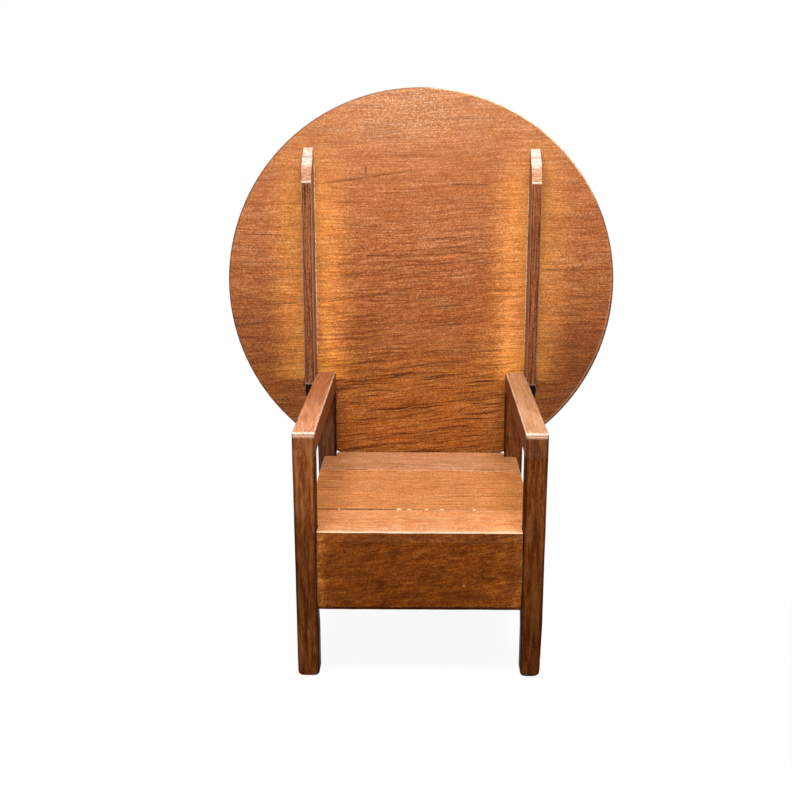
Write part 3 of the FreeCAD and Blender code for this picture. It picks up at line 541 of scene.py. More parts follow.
def worn_lid_front(name, node, seed):
    """The lid's front board, notched round the legs, with a wavering front edge and seam."""
    low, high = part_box(node)
    leg_low, leg_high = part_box("front_leg_right")
    notch_x, notch_y = leg_low.x - 0.4 * MM, leg_high.y + SEAT_GAP
    rows = stations(low.x, high.x, 6 * MM, 3 * MM, 3 * MM)
    rows += [(side * place, 0.0) for side in (-1, 1) for place in (notch_x, notch_x + 0.01 * MM)]
    sections = []
    for place, inset in sorted(rows):
        main = abs(place) < notch_x + 0.005 * MM
        front = low.y + worn(place, seed, 0.9 * MM) if main else notch_y
        ragged = 0.5 + 0.5 * waver(place, 0.018, seed + 3)
        crack = (0.3 + 0.9 * min(1.0, max(0.0, (0.06 - place) / 0.22)) * ragged) * MM
        nose = 4.6 * MM * (1 + 0.22 * waver(place, 0.045, seed + 5)) if main else 2.5 * MM
        radii = (0.15 * MM, 0.4 * MM, 1.0 * MM + crack, nose)
        sections.append((place, ring(front, high.y - crack, low.z,
                                     high.z - inset - worn(place, seed + 2, 0.3 * MM), radii)))
    return loft(name, 0, sections)


def glue_bead(name, corner, signs, low, high, seed, radius):
    """An uneven cove of old glue in an inner corner that runs upwards."""
    (x, y), (across, outward) = corner, signs
    root = 1.3 * MM
    count = round((high - low) / (3 * MM))
    sections = []
    for step in range(count + 1):
        z = low + (high - low) * step / count
        end = min(1.0, 0.15 + min(step, count - step) / 4)
        size = radius * end * (0.42 + 0.58 * max(0.0, waver(z, 0.012, seed)))
        outline = [(-root, -0.3 * MM), (size, -0.3 * MM), (size, 0.05 * MM),
                   (0.55 * size, 0.16 * size), (0.31 * size, 0.31 * size),
                   (0.16 * size, 0.55 * size), (0.05 * MM, size), (-root, size)]
        sections.append((z, [(x + across * u, y + outward * v) for u, v in outline]))
    return loft(name, 2, sections)


SEAT_GAP = 1.5 * MM
LEG_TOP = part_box("arm_left")[0].z
LEG_TAPER = 4 * MM
LEG_LEAN = {"worn_front_leg_left": (1.5 * MM, -2.5 * MM), "worn_front_leg_right": (3.5 * MM, 1.6 * MM)}
FOOT_WEAR = {"worn_front_leg_right": 3.5 * MM}
LEG_ROUND = 8 * MM
FOOT_ROUND = 17 * MM
BATTEN_TIP = 103 * MM
BATTEN_HEEL = 65 * MM
BATTEN_ROUND = 60 * MM
SWELL_DEPTH = 15 * MM
SWELL_LENGTH = 42 * MM

# ---------------------------------------------------------------- round top
def top_tilt(graph, place, along):
    """Grain rises to the right, more so low on the board."""
    lean = graph.ramp(place[2], 0.50, 0.86, 0.105, 0.028)
    return graph.mul(along, lean)


# Old scratches and open cracks in the face: x and z of both ends, half width, strength.
TOP_MARKS = (
    ((-0.335, 1.283), (0.000, 1.326), 0.0026, 0.60),
    ((0.085, 1.281), (0.225, 1.284), 0.0022, 0.75),
    ((-0.290, 1.226), (-0.165, 1.227), 0.0018, 0.60),
    ((-0.182, 1.060), (-0.086, 1.063), 0.0028, 0.80),
    ((0.000, 1.117), (0.130, 1.120), 0.0022, 0.75),
    ((-0.090, 1.056), (0.030, 1.060), 0.0016, 0.60),
    ((-0.255, 0.995), (-0.095, 1.002), 0.0016, 0.55),
    ((-0.555, 1.125), (-0.400, 1.126), 0.0022, 0.60),
    ((-0.520, 0.905), (-0.385, 0.912), 0.0024, 0.65),
    ((0.365, 1.019), (0.520, 1.027), 0.0022, 0.60),
)


def top_light(graph, place, colour, gloss):
    """Painted light in honey-coloured strips beside the battens, painted shade towards the right and low down, deeper
    streaked grain low on the board, painted reflections near the top, painted highlight and shade on the rim.
    """
    x, y, z = place
    side = graph.math("ABSOLUTE", x)
    face = graph.ramp(y, TOP_FACE_Y + 0.004, TOP_FACE_Y + 0.010, 1.0, 0.0)

    # The grain is calmer in the upper part.
    calm = graph.mul(graph.ramp(z, 1.08, 1.34, 0.0, 0.32), face)
    colour = graph.mix(calm, colour, TOP_TONES[1])

    # Painted shade: the board darkens towards its right side and its lower edge.
    right = graph.ramp(x, 0.30, 0.58)
    colour = tint(graph, graph.mul(right, 0.12), colour, (0.78, 0.74, 0.74))
    lower = graph.mul(graph.ramp(z, 0.96, 0.66), graph.ramp(side, 0.34, 0.46))
    colour = tint(graph, graph.mul(lower, 0.90), colour, (0.62, 0.56, 0.52))
    colour = tint(graph, graph.mul(lower, graph.ramp(x, 0.0, 0.1)), colour, (0.86, 0.80, 0.80))

    # Low on the board the colour is deeper and long thick strokes follow the rising grain.
    warm = graph.mul(graph.ramp(z, 1.16, 0.84), face)
    colour = tint(graph, warm, colour, (0.93, 0.86, 0.74))
    middle = graph.mul(graph.ramp(z, 1.02, 0.90), graph.ramp(z, 0.66, 0.80, 0.3, 1.0))
    colour = tint(graph, graph.mul(middle, face), colour, (0.95, 0.94, 0.91))
    deep = graph.mul(graph.ramp(z, 0.84, 0.66), face)
    colour = tint(graph, graph.mul(deep, 0.85), colour, (1.06, 1.11, 0.70))
    across = graph.sub(z, graph.mul(x, 0.105))
    wave = graph.noise(graph.vector(graph.mul(x, 6.0), 0.0, graph.mul(z, 9.0)), 2.0)
    across = graph.add(across, graph.mul(graph.sub(wave, 0.5), 0.030))
    strokes = lenses(graph, x, across, y, (260, 12), 0.80, 4.4)
    strokes = graph.high(strokes, graph.mul(lenses(graph, x, across, y, (150, 8), 0.55, 9.1), 0.8))
    runs = threads(graph, x, across, y, (310, 9.5), 0.56, 0.66, 2.3, 2.0)
    strokes = graph.high(strokes, graph.mul(runs, 0.85))
    faint = graph.mul(graph.ramp(z, 1.26, 0.88, 0.08, 0.68), face)
    strokes = graph.mul(strokes, graph.high(deep, faint))
    strokes = graph.mul(strokes, graph.ramp(side, 0.28, 0.40, 1.0, 0.45))
    colour = tint(graph, strokes, colour, (0.27, 0.16, 0.07))

    # Honey strips beside the battens, painted light with real golden blotches in them: a boundary in line with the
    # arms that sharpens downwards, a soft one outside.
    ragged = blotch(graph, place, (60, 500, 45), 0.30, 0.66, 2.2)
    grain = graph.noise(graph.vector(graph.mul(x, 90.0), 6.0, graph.mul(z, 260.0)), 2.0, 0.6)
    ragged = graph.add(graph.ramp(ragged, 0.0, 1.0, 0.55, 0.95, smooth=False),
                       graph.ramp(grain, 0.36, 0.64, -0.16, 0.16))
    tall = graph.mul(graph.ramp(z, 0.655, 0.668), graph.ramp(z, 1.46, 1.10))
    first = graph.ramp(z, 0.80, 1.04, 0.226, 0.196)
    last = graph.ramp(z, 0.80, 1.04, 0.294, 0.322)
    left_low = graph.mul(graph.ramp(z, 1.00, 0.86), graph.ramp(x, 0.0, -0.1))
    last = graph.add(last, graph.mul(left_low, 0.016))
    inner = graph.mul(graph.ramp(side, first, last), graph.ramp(side, 0.355, 0.335))
    golden_and_lit = graph.mul(graph.gauss(x, 0.225, 0.045), graph.ramp(z, 1.02, 0.86, 0.0, 0.16))
    # Painted light next to the right batten's outer side, offsetting the batten's shadow.
    golden_and_lit = graph.add(golden_and_lit, graph.mul(graph.gauss(x, 0.388, 0.018), 0.30))
    golden_and_lit = graph.add(golden_and_lit, graph.mul(graph.mul(left_low, graph.gauss(x, -0.238, 0.030)), 0.16))
    outer = graph.mul(graph.ramp(side, 0.500, 0.365), graph.ramp(x, -0.30, 0.30, 1.10, 0.64))
    outer = graph.mul(outer, graph.ramp(side, 0.345, 0.360))
    outer = graph.mul(outer, graph.ramp(z, 0.88, 0.72, 1.0, 0.76))
    strip = graph.mul(graph.add(graph.add(inner, golden_and_lit), outer), tall)
    strip = graph.mul(strip, graph.mul(ragged, face))
    bright = graph.mix(graph.ramp(z, 1.15, 0.75), (1.98, 2.25, 1.38), (2.80, 3.40, 2.70))
    colour = tint(graph, strip, colour, bright)
    colour = graph.mix(graph.mul(strip, 0.42), colour, (0.80, 0.30, 0.076))
    colour = tint(graph, graph.mul(strip, graph.ramp(x, 0.0, 0.1)), colour, (1.0, 1.06, 1.22))

    # Painted reflection of the light above: pinker, paler wood in the upper part.
    upper_sheen = graph.mul(graph.ramp(z, 1.22, 1.54), face)
    colour = tint(graph, upper_sheen, colour, (1.08, 1.28, 1.52))
    haze = graph.mul(blotch(graph, place, (230, 500, 60), 0.50, 0.68, 5.0),
                     graph.ramp(z, 1.05, 1.30))
    colour = tint(graph, graph.mul(graph.mul(haze, face), 0.50), colour, (0.80, 0.86, 1.05))

    # Painted glints: pale flecks near the top, reflections of the light above, fewer down the right half.
    glint_fleck = graph.noise(graph.vector(graph.mul(x, 120.0), 0.0, graph.mul(z, 300.0)), 2.0, 0.6)
    high_up = graph.mul(graph.ramp(z, 1.36, 1.50), graph.gauss(x, -0.03, 0.17))
    glint_fleck = graph.mul(graph.ramp(glint_fleck, 0.56, 0.66), graph.mul(high_up, face))
    colour = graph.mix(graph.mul(glint_fleck, 0.68), colour, (0.92, 0.68, 0.52))
    dust = graph.noise(graph.vector(graph.mul(x, 210.0), 0.0, graph.mul(z, 260.0)), 1.0, 0.5)
    dust = graph.mul(graph.ramp(dust, 0.70, 0.76), face)
    colour = graph.mix(graph.mul(dust, 0.36), colour, (0.88, 0.60, 0.38))

    # A small nick, a fine slanting scratch, and open cracks along the grain.
    nick = graph.mul(graph.gauss(x, -0.173, 0.0028), graph.gauss(z, 1.327, 0.011))
    line = graph.add(graph.sub(x, 0.116), graph.mul(graph.sub(z, 1.090), 0.72))
    scratch = graph.mul(graph.gauss(line, 0.0, 0.0022), graph.gauss(z, 1.090, 0.026))
    marks = graph.high(nick, graph.mul(scratch, 0.6))
    wander = graph.add(z, graph.mul(graph.sub(wave, 0.5), 0.012))
    for start, end, wide, strength in TOP_MARKS:
        marks = graph.high(marks, graph.mul(mark(graph, x, wander, start, end, wide), strength))
    colour = tint(graph, graph.mul(marks, face), colour, (0.25, 0.20, 0.18))

    # The rounded rim: painted shade below and at the sides, a painted highlight in pale wood tones at the upper right.
    off = graph.sub(z, TOP_Z)
    radial = graph.math("SQRT", graph.add(graph.mul(x, x), graph.mul(off, off)))
    rim = graph.ramp(radial, TOP_RADIUS - 0.006, TOP_RADIUS - 0.002)
    highlit = graph.mul(graph.ramp(off, 0.20, 0.42), graph.ramp(x, -0.02, 0.10))
    hairline = graph.mul(graph.gauss(radial, TOP_RADIUS - 0.0085, 0.0016),
                         graph.mul(graph.ramp(x, 0.20, 0.45), graph.ramp(off, 0.20, -0.05)))
    colour = graph.mix(graph.mul(hairline, 0.40), colour, (0.66, 0.42, 0.28))
    colour = tint(graph, graph.mul(rim, graph.sub(0.85, highlit)), colour, (0.34, 0.34, 0.40))
    rim_highlight = graph.noise(graph.vector(graph.mul(x, 60.0), graph.mul(y, 420.0), graph.mul(z, 60.0)),
                       3.0, 0.6)
    rim_highlight = graph.palette(rim_highlight, [(0.36, (0.46, 0.27, 0.15)), (0.50, (0.80, 0.60, 0.42)),
                                (0.64, (0.94, 0.82, 0.66))])
    colour = graph.mix(graph.mul(graph.mul(rim, highlit), 0.85), colour, rim_highlight)
    return colour, gloss


TOP_TONES = [(0.235, 0.056, 0.010), (0.445, 0.139, 0.041), (0.70, 0.292, 0.115)]
dress(["table_top"], wood("top mahogany", "x", 1, TOP_TONES, tilt=top_tilt, local=top_light,
                          specular=0.2, streak=0.45, streak_share=0.20, streak_cell=(280, 5.0),
                          hair=0.24, lines=0.60, speckle=0.95, figure=0.60))

# ---------------------------------------------------------------- battens
BATTEN_TONES = [(0.13, 0.036, 0.016), (0.27, 0.088, 0.036), (0.44, 0.165, 0.080)]


def batten_look(name):
    low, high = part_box(name)

    def local(graph, place, colour, gloss):
        """Painted reflection on the upper slope, painted shade on the heel, painted highlights on the arrises, painted
        shade on the grey inner side.
        """
        x, y, z = place
        normal = graph.object_normal()
        edge = face_gap(graph, x, low.x, high.x)
        colour = tint(graph, 1.0, colour, (1.12, 1.18, 1.10) if low.x < 0 else (1.06, 1.00, 0.84))
        bands = graph.noise(graph.vector(graph.mul(x, 150.0), 1.0, graph.mul(z, 5.0)), 2.0, 0.6)
        colour = tint(graph, graph.ramp(bands, 0.50, 0.62), colour, (0.55, 0.50, 0.52))
        colour = tint(graph, graph.gauss(edge, 0.0052, 0.0016), colour, (0.60, 0.52, 0.50))
        # Painted reflection of the light above on the upper slope, with a painted highlight at its lower arris and a
        # darker line higher up.
        upper = graph.mul(graph.ramp(z, 1.287, 1.292), graph.ramp(normal[2], 0.02, 0.25))
        pale = graph.noise(graph.vector(graph.mul(x, 70.0), 0.0, graph.mul(z, 190.0)), 3.0, 0.6)
        white = graph.palette(pale, [(0.34, (0.50, 0.34, 0.25)), (0.48, (0.68, 0.52, 0.42)),
                                     (0.62, (0.80, 0.69, 0.59))])
        pink = graph.palette(pale, [(0.36, (0.38, 0.165, 0.090)), (0.52, (0.56, 0.27, 0.155)),
                                    (0.66, (0.72, 0.44, 0.30))])
        tone = graph.mix(graph.ramp(z, 1.350, 1.328), white, pink)
        tone = graph.mix(graph.mul(graph.gauss(z, 1.2940, 0.0020), 0.9), tone, (0.90, 0.76, 0.62))
        tone = graph.mix(graph.mul(graph.gauss(z, 1.366, 0.0030), 0.7), tone, (0.34, 0.22, 0.16))
        tone = tint(graph, 1.0, tone, (0.90, 0.88, 0.88) if low.x < 0 else (1.0, 1.0, 1.0))
        colour = graph.mix(graph.mul(upper, 0.96), colour, tone)
        # Painted shade: the downward-facing heel nearly black.
        heel = graph.mul(graph.ramp(z, 0.668, 0.660), graph.ramp(normal[2], -0.01, -0.16))
        colour = graph.mix(graph.mul(heel, 0.98), colour, (0.008, 0.005, 0.004))
        # Painted highlights along the front arrises and the heel's lip.
        lip = graph.mul(graph.gauss(z, 0.6665, 0.0022), graph.ramp(y, low.y + 0.006, low.y + 0.002))
        arris = graph.mul(graph.ramp(edge, 0.0036, 0.0014),
                          graph.ramp(y, low.y + 0.006, low.y + 0.002))
        broken = blotch(graph, place, (9, 9, 40), 0.28, 0.52, 1.0)
        arris = graph.high(graph.mul(arris, broken), graph.mul(lip, 0.8))
        colour = graph.mix(graph.mul(arris, 0.55 if low.x < 0 else 0.40), colour, (0.66, 0.43, 0.28))
        # Painted shade on the side faces, deeper near the board.
        flank = graph.ramp(graph.math("ABSOLUTE", normal[0]), 0.6, 0.9)
        colour = graph.mix(graph.mul(flank, 0.45), colour, (0.33, 0.17, 0.10))
        root = graph.mul(flank, graph.ramp(y, high.y - 0.030, high.y - 0.004))
        colour = tint(graph, graph.mul(root, 0.8), colour, (0.35, 0.30, 0.28))
        return colour, gloss
    return local


for index, name in enumerate(("batten_left", "batten_right")):
    material = wood(f"{name} mahogany", "z", 5 + index, BATTEN_TONES, streak=0.75,
                    streak_share=0.6, streak_cell=(260, 10), hair=0.5, specular=0.05,
                    local=batten_look(name))
    dress([name], material)
    take_place(worn_batten(f"worn_{name}", name, 11.0 + 7 * index), material, "top",
               "batten_wood", name)

# ---------------------------------------------------------------- arms, legs, seat, panels
ARM_TONES = [(0.34, 0.125, 0.058), (0.60, 0.255, 0.125), (0.86, 0.44, 0.26)]
LEG_TONES = [(0.085, 0.020, 0.0040), (0.185, 0.048, 0.009), (0.34, 0.105, 0.024)]
SEAT_TONES = [(0.30, 0.085, 0.024), (0.55, 0.190, 0.062), (0.80, 0.350, 0.150)]
PANEL_TONES = [(0.115, 0.025, 0.0025), (0.222, 0.053, 0.006), (0.385, 0.118, 0.018)]
INNER_TONES = [(0.22, 0.10, 0.045), (0.38, 0.20, 0.10), (0.52, 0.31, 0.17)]
SIDE_TONE = (0.205, 0.065, 0.023)


LEG_GRAIN = {"figure": 0.7, "speckle": 0.6, "streak": 0.3, "hair": 0.15, "lines": 0.3}
PANEL_GRAIN = {"figure": 0.45, "speckle": 0.8, "streak": 0.20, "hair": 0.18, "tilt": 0.12,
               "lines": 0.22}
LEG_SEEDS = {"front_leg_left": 13, "front_leg_right": 14, "rear_leg_left": 15, "rear_leg_right": 16}
PANEL_SEED = 29


def arm_look(name, leg):
    low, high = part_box(name)
    inner = high.x if high.x < 0 else low.x
    left = low.x < 0

    def local(graph, place, colour, gloss):
        """A pale upper face with painted glints, painted shade on the sides and underside, the leg's wood in front, a
        painted highlight on the inner arris.
        """
        x, y, z = place
        normal = graph.object_normal()
        flat = graph.ramp(normal[2], 0.4, 0.7)
        flank = graph.ramp(graph.math("ABSOLUTE", normal[0]), 0.45, 0.75)
        under = graph.ramp(normal[2], -0.3, -0.7)

        # The upper face: peach near the nose, deeper behind, with stained patches and painted glints near the rear.
        far = graph.ramp(y, low.y + 0.06, low.y + 0.62)
        deep = (0.54, 0.40, 0.28) if left else (0.70, 0.62, 0.52)
        colour = tint(graph, graph.mul(far, flat), colour, deep)
        colour = tint(graph, flat, colour, (1.0, 1.0, 1.0) if left else (1.0, 1.18, 1.22))
        patch = blotch(graph, place, (26, 90, 40), 0.42, 0.64, 8.0)
        colour = tint(graph, graph.mul(graph.mul(patch, flat), 0.55), colour, (0.70, 0.58, 0.46))
        glint = graph.noise(graph.vector(graph.mul(x, 190.0), graph.mul(y, 60.0), 2.0), 2.0, 0.6)
        glint = graph.mul(graph.ramp(glint, 0.62, 0.70), graph.ramp(y, high.y - 0.16, high.y - 0.05))
        colour = graph.mix(graph.mul(graph.mul(glint, flat), 0.70), colour, (0.90, 0.78, 0.66))
        # Painted shade on the sides and underside.
        colour = tint(graph, graph.high(flank, under), colour,
                      (0.30, 0.22, 0.16) if left else (0.28, 0.19, 0.12))

        # The front end is one with the leg below it.
        end = graph.mul(graph.ramp(normal[1], -0.35, -0.75), graph.ramp(z, high.z - 0.008,
                                                                       high.z - 0.014))
        tone = wood_colour(graph, place, "z", LEG_SEEDS[leg], LEG_TONES, **LEG_GRAIN)[0]
        tone = leg_look(leg)(graph, place, tone, gloss)[0]
        colour = graph.mix(end, colour, tone)

        # Painted highlights on two worn steps along the nose, with painted shade in the groove between them.
        nose = graph.ramp(y, low.y + 0.015, low.y + 0.011)
        drop = graph.sub(high.z, z)
        uneven = graph.ramp(graph.noise(graph.vector(graph.mul(x, 90.0), 0.0, graph.mul(z, 90.0)),
                                        2.0), 0.35, 0.62, 0.45, 1.0)
        colour = graph.mix(graph.mul(graph.mul(nose, graph.gauss(drop, 0.0018, 0.0028)), uneven),
                           colour, (0.88, 0.66, 0.53))
        colour = graph.mix(graph.mul(graph.mul(nose, graph.gauss(drop, 0.0098, 0.0030)),
                                     graph.mul(uneven, 0.85)), colour, (0.62, 0.36, 0.25))
        groove = graph.mul(nose, graph.gauss(drop, 0.0056, 0.0011))
        colour = tint(graph, groove, colour, (0.42, 0.34, 0.30))

        # Painted highlight along the inner arris, broken in places.
        broken = blotch(graph, place, (8, 22, 8), 0.30, 0.55, 3.0)
        arris = graph.mul(graph.ramp(graph.math("ABSOLUTE", graph.sub(x, inner)), 0.0050, 0.0015),
                          graph.ramp(z, high.z - 0.007, high.z - 0.002))
        colour = graph.mix(graph.mul(graph.mul(arris, broken), 0.75), colour, (0.90, 0.66, 0.48))
        tail = graph.mul(graph.ramp(y, high.y - 0.040, high.y - 0.020), graph.ramp(normal[2], 0.5, 0.8))
        colour = graph.mix(graph.mul(tail, 0.50), colour, (0.25, 0.15, 0.10))
        return colour, gloss
    return local


def leg_look(name):
    low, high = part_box(name)
    right = low.x > 0
    front = high.y < 0
    inward = -1.0 if right else 1.0

    def local(graph, place, colour, gloss):
        """Golden and dark bands down the faces; painted light high on the front legs and painted shade low down;
        painted shade on the edges and inner side; a darker foot.
        """
        x, y, z = place
        normal = graph.object_normal()
        gold = blotch(graph, place, (17, 40, 110), 0.44, 0.60, 7.0 if right else 3.0)
        colour = graph.mix(graph.mul(gold, 0.60), colour, (0.31, 0.110, 0.022))
        band = blotch(graph, place, (13, 30, 150), 0.46, 0.60, 11.0 if right else 19.0)
        colour = tint(graph, graph.mul(band, 0.75), colour, (0.44, 0.36, 0.36))
        cross = blotch(graph, place, (40, 60, 28), 0.42, 0.62, 23.0)
        colour = tint(graph, graph.mul(cross, 0.35), colour, (0.66, 0.60, 0.60))
        if front:
            level = (1.00, 0.99, 0.96) if right else (0.93, 0.93, 1.02)
            colour = tint(graph, 1.0, colour, level)
            # Painted light brightens the front legs towards the arms; painted shade darkens them low down.
            shade = (1.24, 1.26, 1.36) if right else (1.95, 2.02, 2.5)
            colour = tint(graph, graph.ramp(z, 0.36, 0.56), colour, shade)
            colour = tint(graph, graph.ramp(z, 0.34, 0.14), colour,
                          (0.62, 0.56, 0.54) if right else (0.90, 0.88, 0.88))
        else:
            colour = tint(graph, 1.0, colour, (1.25, 1.42, 2.0) if right else (0.82, 1.00, 2.1))
        # Painted shade on the rounded edges and the inner side.
        edge = face_gap(graph, x, low.x, high.x)
        ragged = graph.add(edge, graph.mul(graph.sub(blotch(graph, place, (9, 9, 30), 0.3, 0.7, 5.0),
                                                     0.5), 0.004))
        colour = tint(graph, graph.ramp(ragged, 0.010, 0.004), colour, (0.50, 0.42, 0.44))
        inside = graph.ramp(graph.mul(normal[0], inward), 0.5, 0.85)
        colour = tint(graph, graph.mul(inside, 0.75), colour, (0.30, 0.26, 0.28))
        colour = tint(graph, graph.ramp(z, 0.012, 0.005), colour, (0.26, 0.21, 0.21))
        scratch = threads(graph, z, x, y, (30, 2.6), 0.67, 0.73, 3.0)
        low_down = graph.mul(graph.gauss(z, 0.105, 0.045), 0.45 if front and not right else 0.15)
        colour = graph.mix(graph.mul(scratch, low_down), colour, (0.55, 0.33, 0.18))
        return colour, gloss
    return local


def panel_look(graph, place, colour, gloss):
    """Mottled ribbon figure that rises to the right, paler at the upper left, a painted shadow along the foot."""
    x, y, z = place
    lean = graph.sub(z, graph.mul(x, 0.16))
    mottle = graph.noise(graph.vector(graph.mul(x, 13.0), 3.0, graph.mul(lean, 40.0)), 3.0, 0.60)
    colour = tint(graph, graph.ramp(mottle, 0.50, 0.68), colour, (1.34, 1.36, 1.40))
    colour = tint(graph, graph.ramp(mottle, 0.50, 0.34), colour, (0.76, 0.70, 0.66))
    ripple = graph.noise(graph.vector(graph.mul(x, 34.0), 8.0, graph.mul(lean, 85.0)), 3.0, 0.62)
    colour = tint(graph, graph.ramp(ripple, 0.50, 0.66), colour, (1.30, 1.38, 1.60))
    colour = tint(graph, graph.ramp(ripple, 0.50, 0.34), colour, (0.80, 0.74, 0.70))
    corner = graph.mul(graph.ramp(x, -0.15, -0.27), graph.ramp(z, 0.30, 0.40))
    colour = tint(graph, graph.mul(corner, 0.9), colour, (1.50, 1.60, 1.50))
    middle = graph.ramp(graph.math("ABSOLUTE", x), 0.24, 0.10)
    colour = tint(graph, middle, colour, (0.99, 0.96, 0.80))
    middle = graph.mul(middle, graph.ramp(z, 0.32, 0.26))
    colour = tint(graph, middle, colour, (0.88, 0.86, 0.84))
    right = graph.ramp(x, 0.116, 0.124)
    colour = tint(graph, right, colour, (1.10, 1.12, 1.10))
    fine = graph.noise(graph.vector(graph.mul(x, 60.0), 2.0, graph.mul(lean, 330.0)), 1.0)
    colour = tint(graph, graph.mul(right, graph.ramp(fine, 0.50, 0.62)), colour, (0.82, 0.80, 0.80))
    chafed = graph.mul(graph.ramp(graph.math("ABSOLUTE", x), 0.244, 0.263),
                       blotch(graph, place, (9, 9, 12), 0.30, 0.56, 4.0))
    colour = tint(graph, graph.mul(chafed, graph.ramp(x, -0.1, 0.1, 1.0, 0.5)), colour,
                  (1.75, 2.20, 3.40))
    # Painted shadow along the panel's foot.
    foot = graph.ramp(z, 0.2085, 0.2045)
    colour = tint(graph, foot, colour, (0.24, 0.20, 0.20))
    speck = graph.mul(graph.gauss(x, 0.118, 0.0024), graph.gauss(z, 0.268, 0.0024))
    colour = graph.mix(graph.mul(speck, 0.8), colour, (0.80, 0.50, 0.22))
    return colour, gloss


# Painted glints along the seam between the lid's boards: x and half length.
SEAM_GLINTS = ((-0.226, 0.0022), (-0.058, 0.0055), (-0.030, 0.0045), (0.018, 0.0035), (0.062, 0.0045),
              (0.152, 0.0030))


def seat_look(name, balance, dark_seam, highlit):
    """Panel wood on the front edge; painted highlights on the upper arrises; painted sheen and light near the front
    and at the right end; a dark crack between lid boards with painted glints.
    """
    low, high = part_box(name)

    def local(graph, place, colour, gloss):
        x, y, z = place
        normal = graph.object_normal()
        face = graph.ramp(normal[2], 0.25, 0.55)
        edge_tone = wood_colour(graph, place, "x", PANEL_SEED, PANEL_TONES, **PANEL_GRAIN)[0]
        edge_tone = panel_look(graph, place, edge_tone, gloss)[0]
        colour = tint(graph, 1.0, colour, balance)
        ends = graph.ramp(graph.math("ABSOLUTE", x), 0.16, 0.28)
        colour = tint(graph, graph.mul(ends, 0.55), colour, (0.94, 0.84, 0.58))
        # Painted light lifts the right end, offsetting the shade of the arm and leg.
        fill = graph.ramp(x, 0.13, 0.25, 0.0, 1.0 if "front" in name else 0.5)
        colour = tint(graph, fill, colour, (1.33, 1.36, 1.30))
        if "front" in name:
            patch = graph.noise(graph.vector(graph.mul(x, 24.0), graph.mul(y, 42.0), 9.0), 3.0, 0.6)
            colour = tint(graph, graph.ramp(patch, 0.50, 0.66), colour, (1.08, 1.19, 1.36))
            colour = tint(graph, graph.ramp(patch, 0.50, 0.34), colour, (0.92, 0.81, 0.70))
            # Painted sheen: paler towards the front edge.
            front_sheen = graph.ramp(y, FRONT_Y + 0.050, FRONT_Y + 0.018)
            colour = tint(graph, front_sheen, colour, (1.04, 1.12, 1.30))
            colour = tint(graph, graph.sub(1.0, front_sheen), colour, (0.99, 0.95, 0.90))
        colour = graph.mix(face, edge_tone, colour)
        # Painted highlights: pale specks of sheen, strongest near the front.
        sheen_specks = graph.noise(graph.vector(graph.mul(x, 130.0), graph.mul(y, 60.0), 4.0), 2.0, 0.6)
        sheen_specks = graph.mul(graph.ramp(sheen_specks, 0.58, 0.68), face)
        near_front = graph.ramp(y, FRONT_Y + 0.11, FRONT_Y + 0.03, 0.25, 1.1)
        colour = graph.mix(graph.mul(sheen_specks, graph.mul(near_front, 0.38)), colour, (0.92, 0.68, 0.50))
        broken = blotch(graph, place, (40, 8, 8), 0.25, 0.55, 6.0)
        # Painted highlights along the upper arrises.
        for plane, wide in highlit:
            near = graph.math("ABSOLUTE", graph.sub(y, low.y if plane < 0 else high.y))
            steady = graph.ramp(broken, 0.0, 1.0, 0.50 if plane > 0 else 0.0, 1.0)
            if plane > 0:
                steady = graph.mul(steady, graph.ramp(graph.math("ABSOLUTE", x), 0.06, 0.20, 0.45, 1.0))
            arris_highlight = graph.mul(graph.ramp(near, wide, 0.001), graph.mul(steady, face))
            colour = graph.mix(graph.mul(arris_highlight, 0.95 if plane > 0 else 0.70), colour,
                               (1.0, 0.74, 0.54))
        if dark_seam:
            near = graph.math("ABSOLUTE", graph.sub(y, low.y if dark_seam < 0 else high.y))
            thick = graph.ramp(x, -0.16, 0.04, 0.0048, 0.0014)
            uneven = blotch(graph, place, (30, 300, 300), 0.30, 0.62, 1.0)
            thick = graph.mul(thick, graph.ramp(uneven, 0.0, 1.0, 0.35, 1.0))
            seam = graph.ramp(near, thick, graph.mul(thick, 0.6))
            colour = tint(graph, graph.mul(seam, graph.ramp(x, -0.15, 0.10, 0.92, 0.60)), colour,
                          (0.20, 0.13, 0.10))
            # Painted glints along the seam.
            glints = 0.0
            for centre, half in SEAM_GLINTS:
                glints = graph.high(glints, graph.gauss(x, centre, 1.35 * half))
            glints = graph.mul(graph.ramp(glints, 0.30, 0.60), graph.ramp(near, 0.0056, 0.0034))
            colour = graph.mix(graph.mul(graph.mul(glints, face), 0.90), colour, (1.0, 0.76, 0.46))
        return colour, gloss
    return local


for index, name in enumerate(("arm_left", "arm_right")):
    leg = name.replace("arm", "front_leg")
    material = wood(f"{name} mahogany", "y", 9 + index, ARM_TONES, figure=0.7, speckle=0.8,
                    streak=0.25, streak_share=0.2, hair=0.15, lines=0.3, specular=0.15,
                    local=arm_look(name, leg))
    dress([name], material)
    take_place(worn_arm(f"worn_{name}", name, 31.0 + 9 * index), material, "chair", "arm_wood",
               name)
for index, (name, seed) in enumerate(LEG_SEEDS.items()):
    material = wood(f"{name} mahogany", "z", seed, LEG_TONES, local=leg_look(name), specular=0.012,
                    **LEG_GRAIN)
    dress([name], material)
    take_place(worn_leg(f"worn_{name}", name, 51.0 + 9 * index), material, "chair", "leg_wood",
               name)
SEAT_BOARDS = {
    "seat_rear_board": ((0.98, 1.20, 1.55), 0, ()),
    "lid_middle_board": ((1.06, 1.13, 1.08), -1, ((1, 0.008),)),
    "lid_front_board": ((1.21, 1.45, 1.76), 1, ((-1, 0.010),)),
}
seat_woods = {}
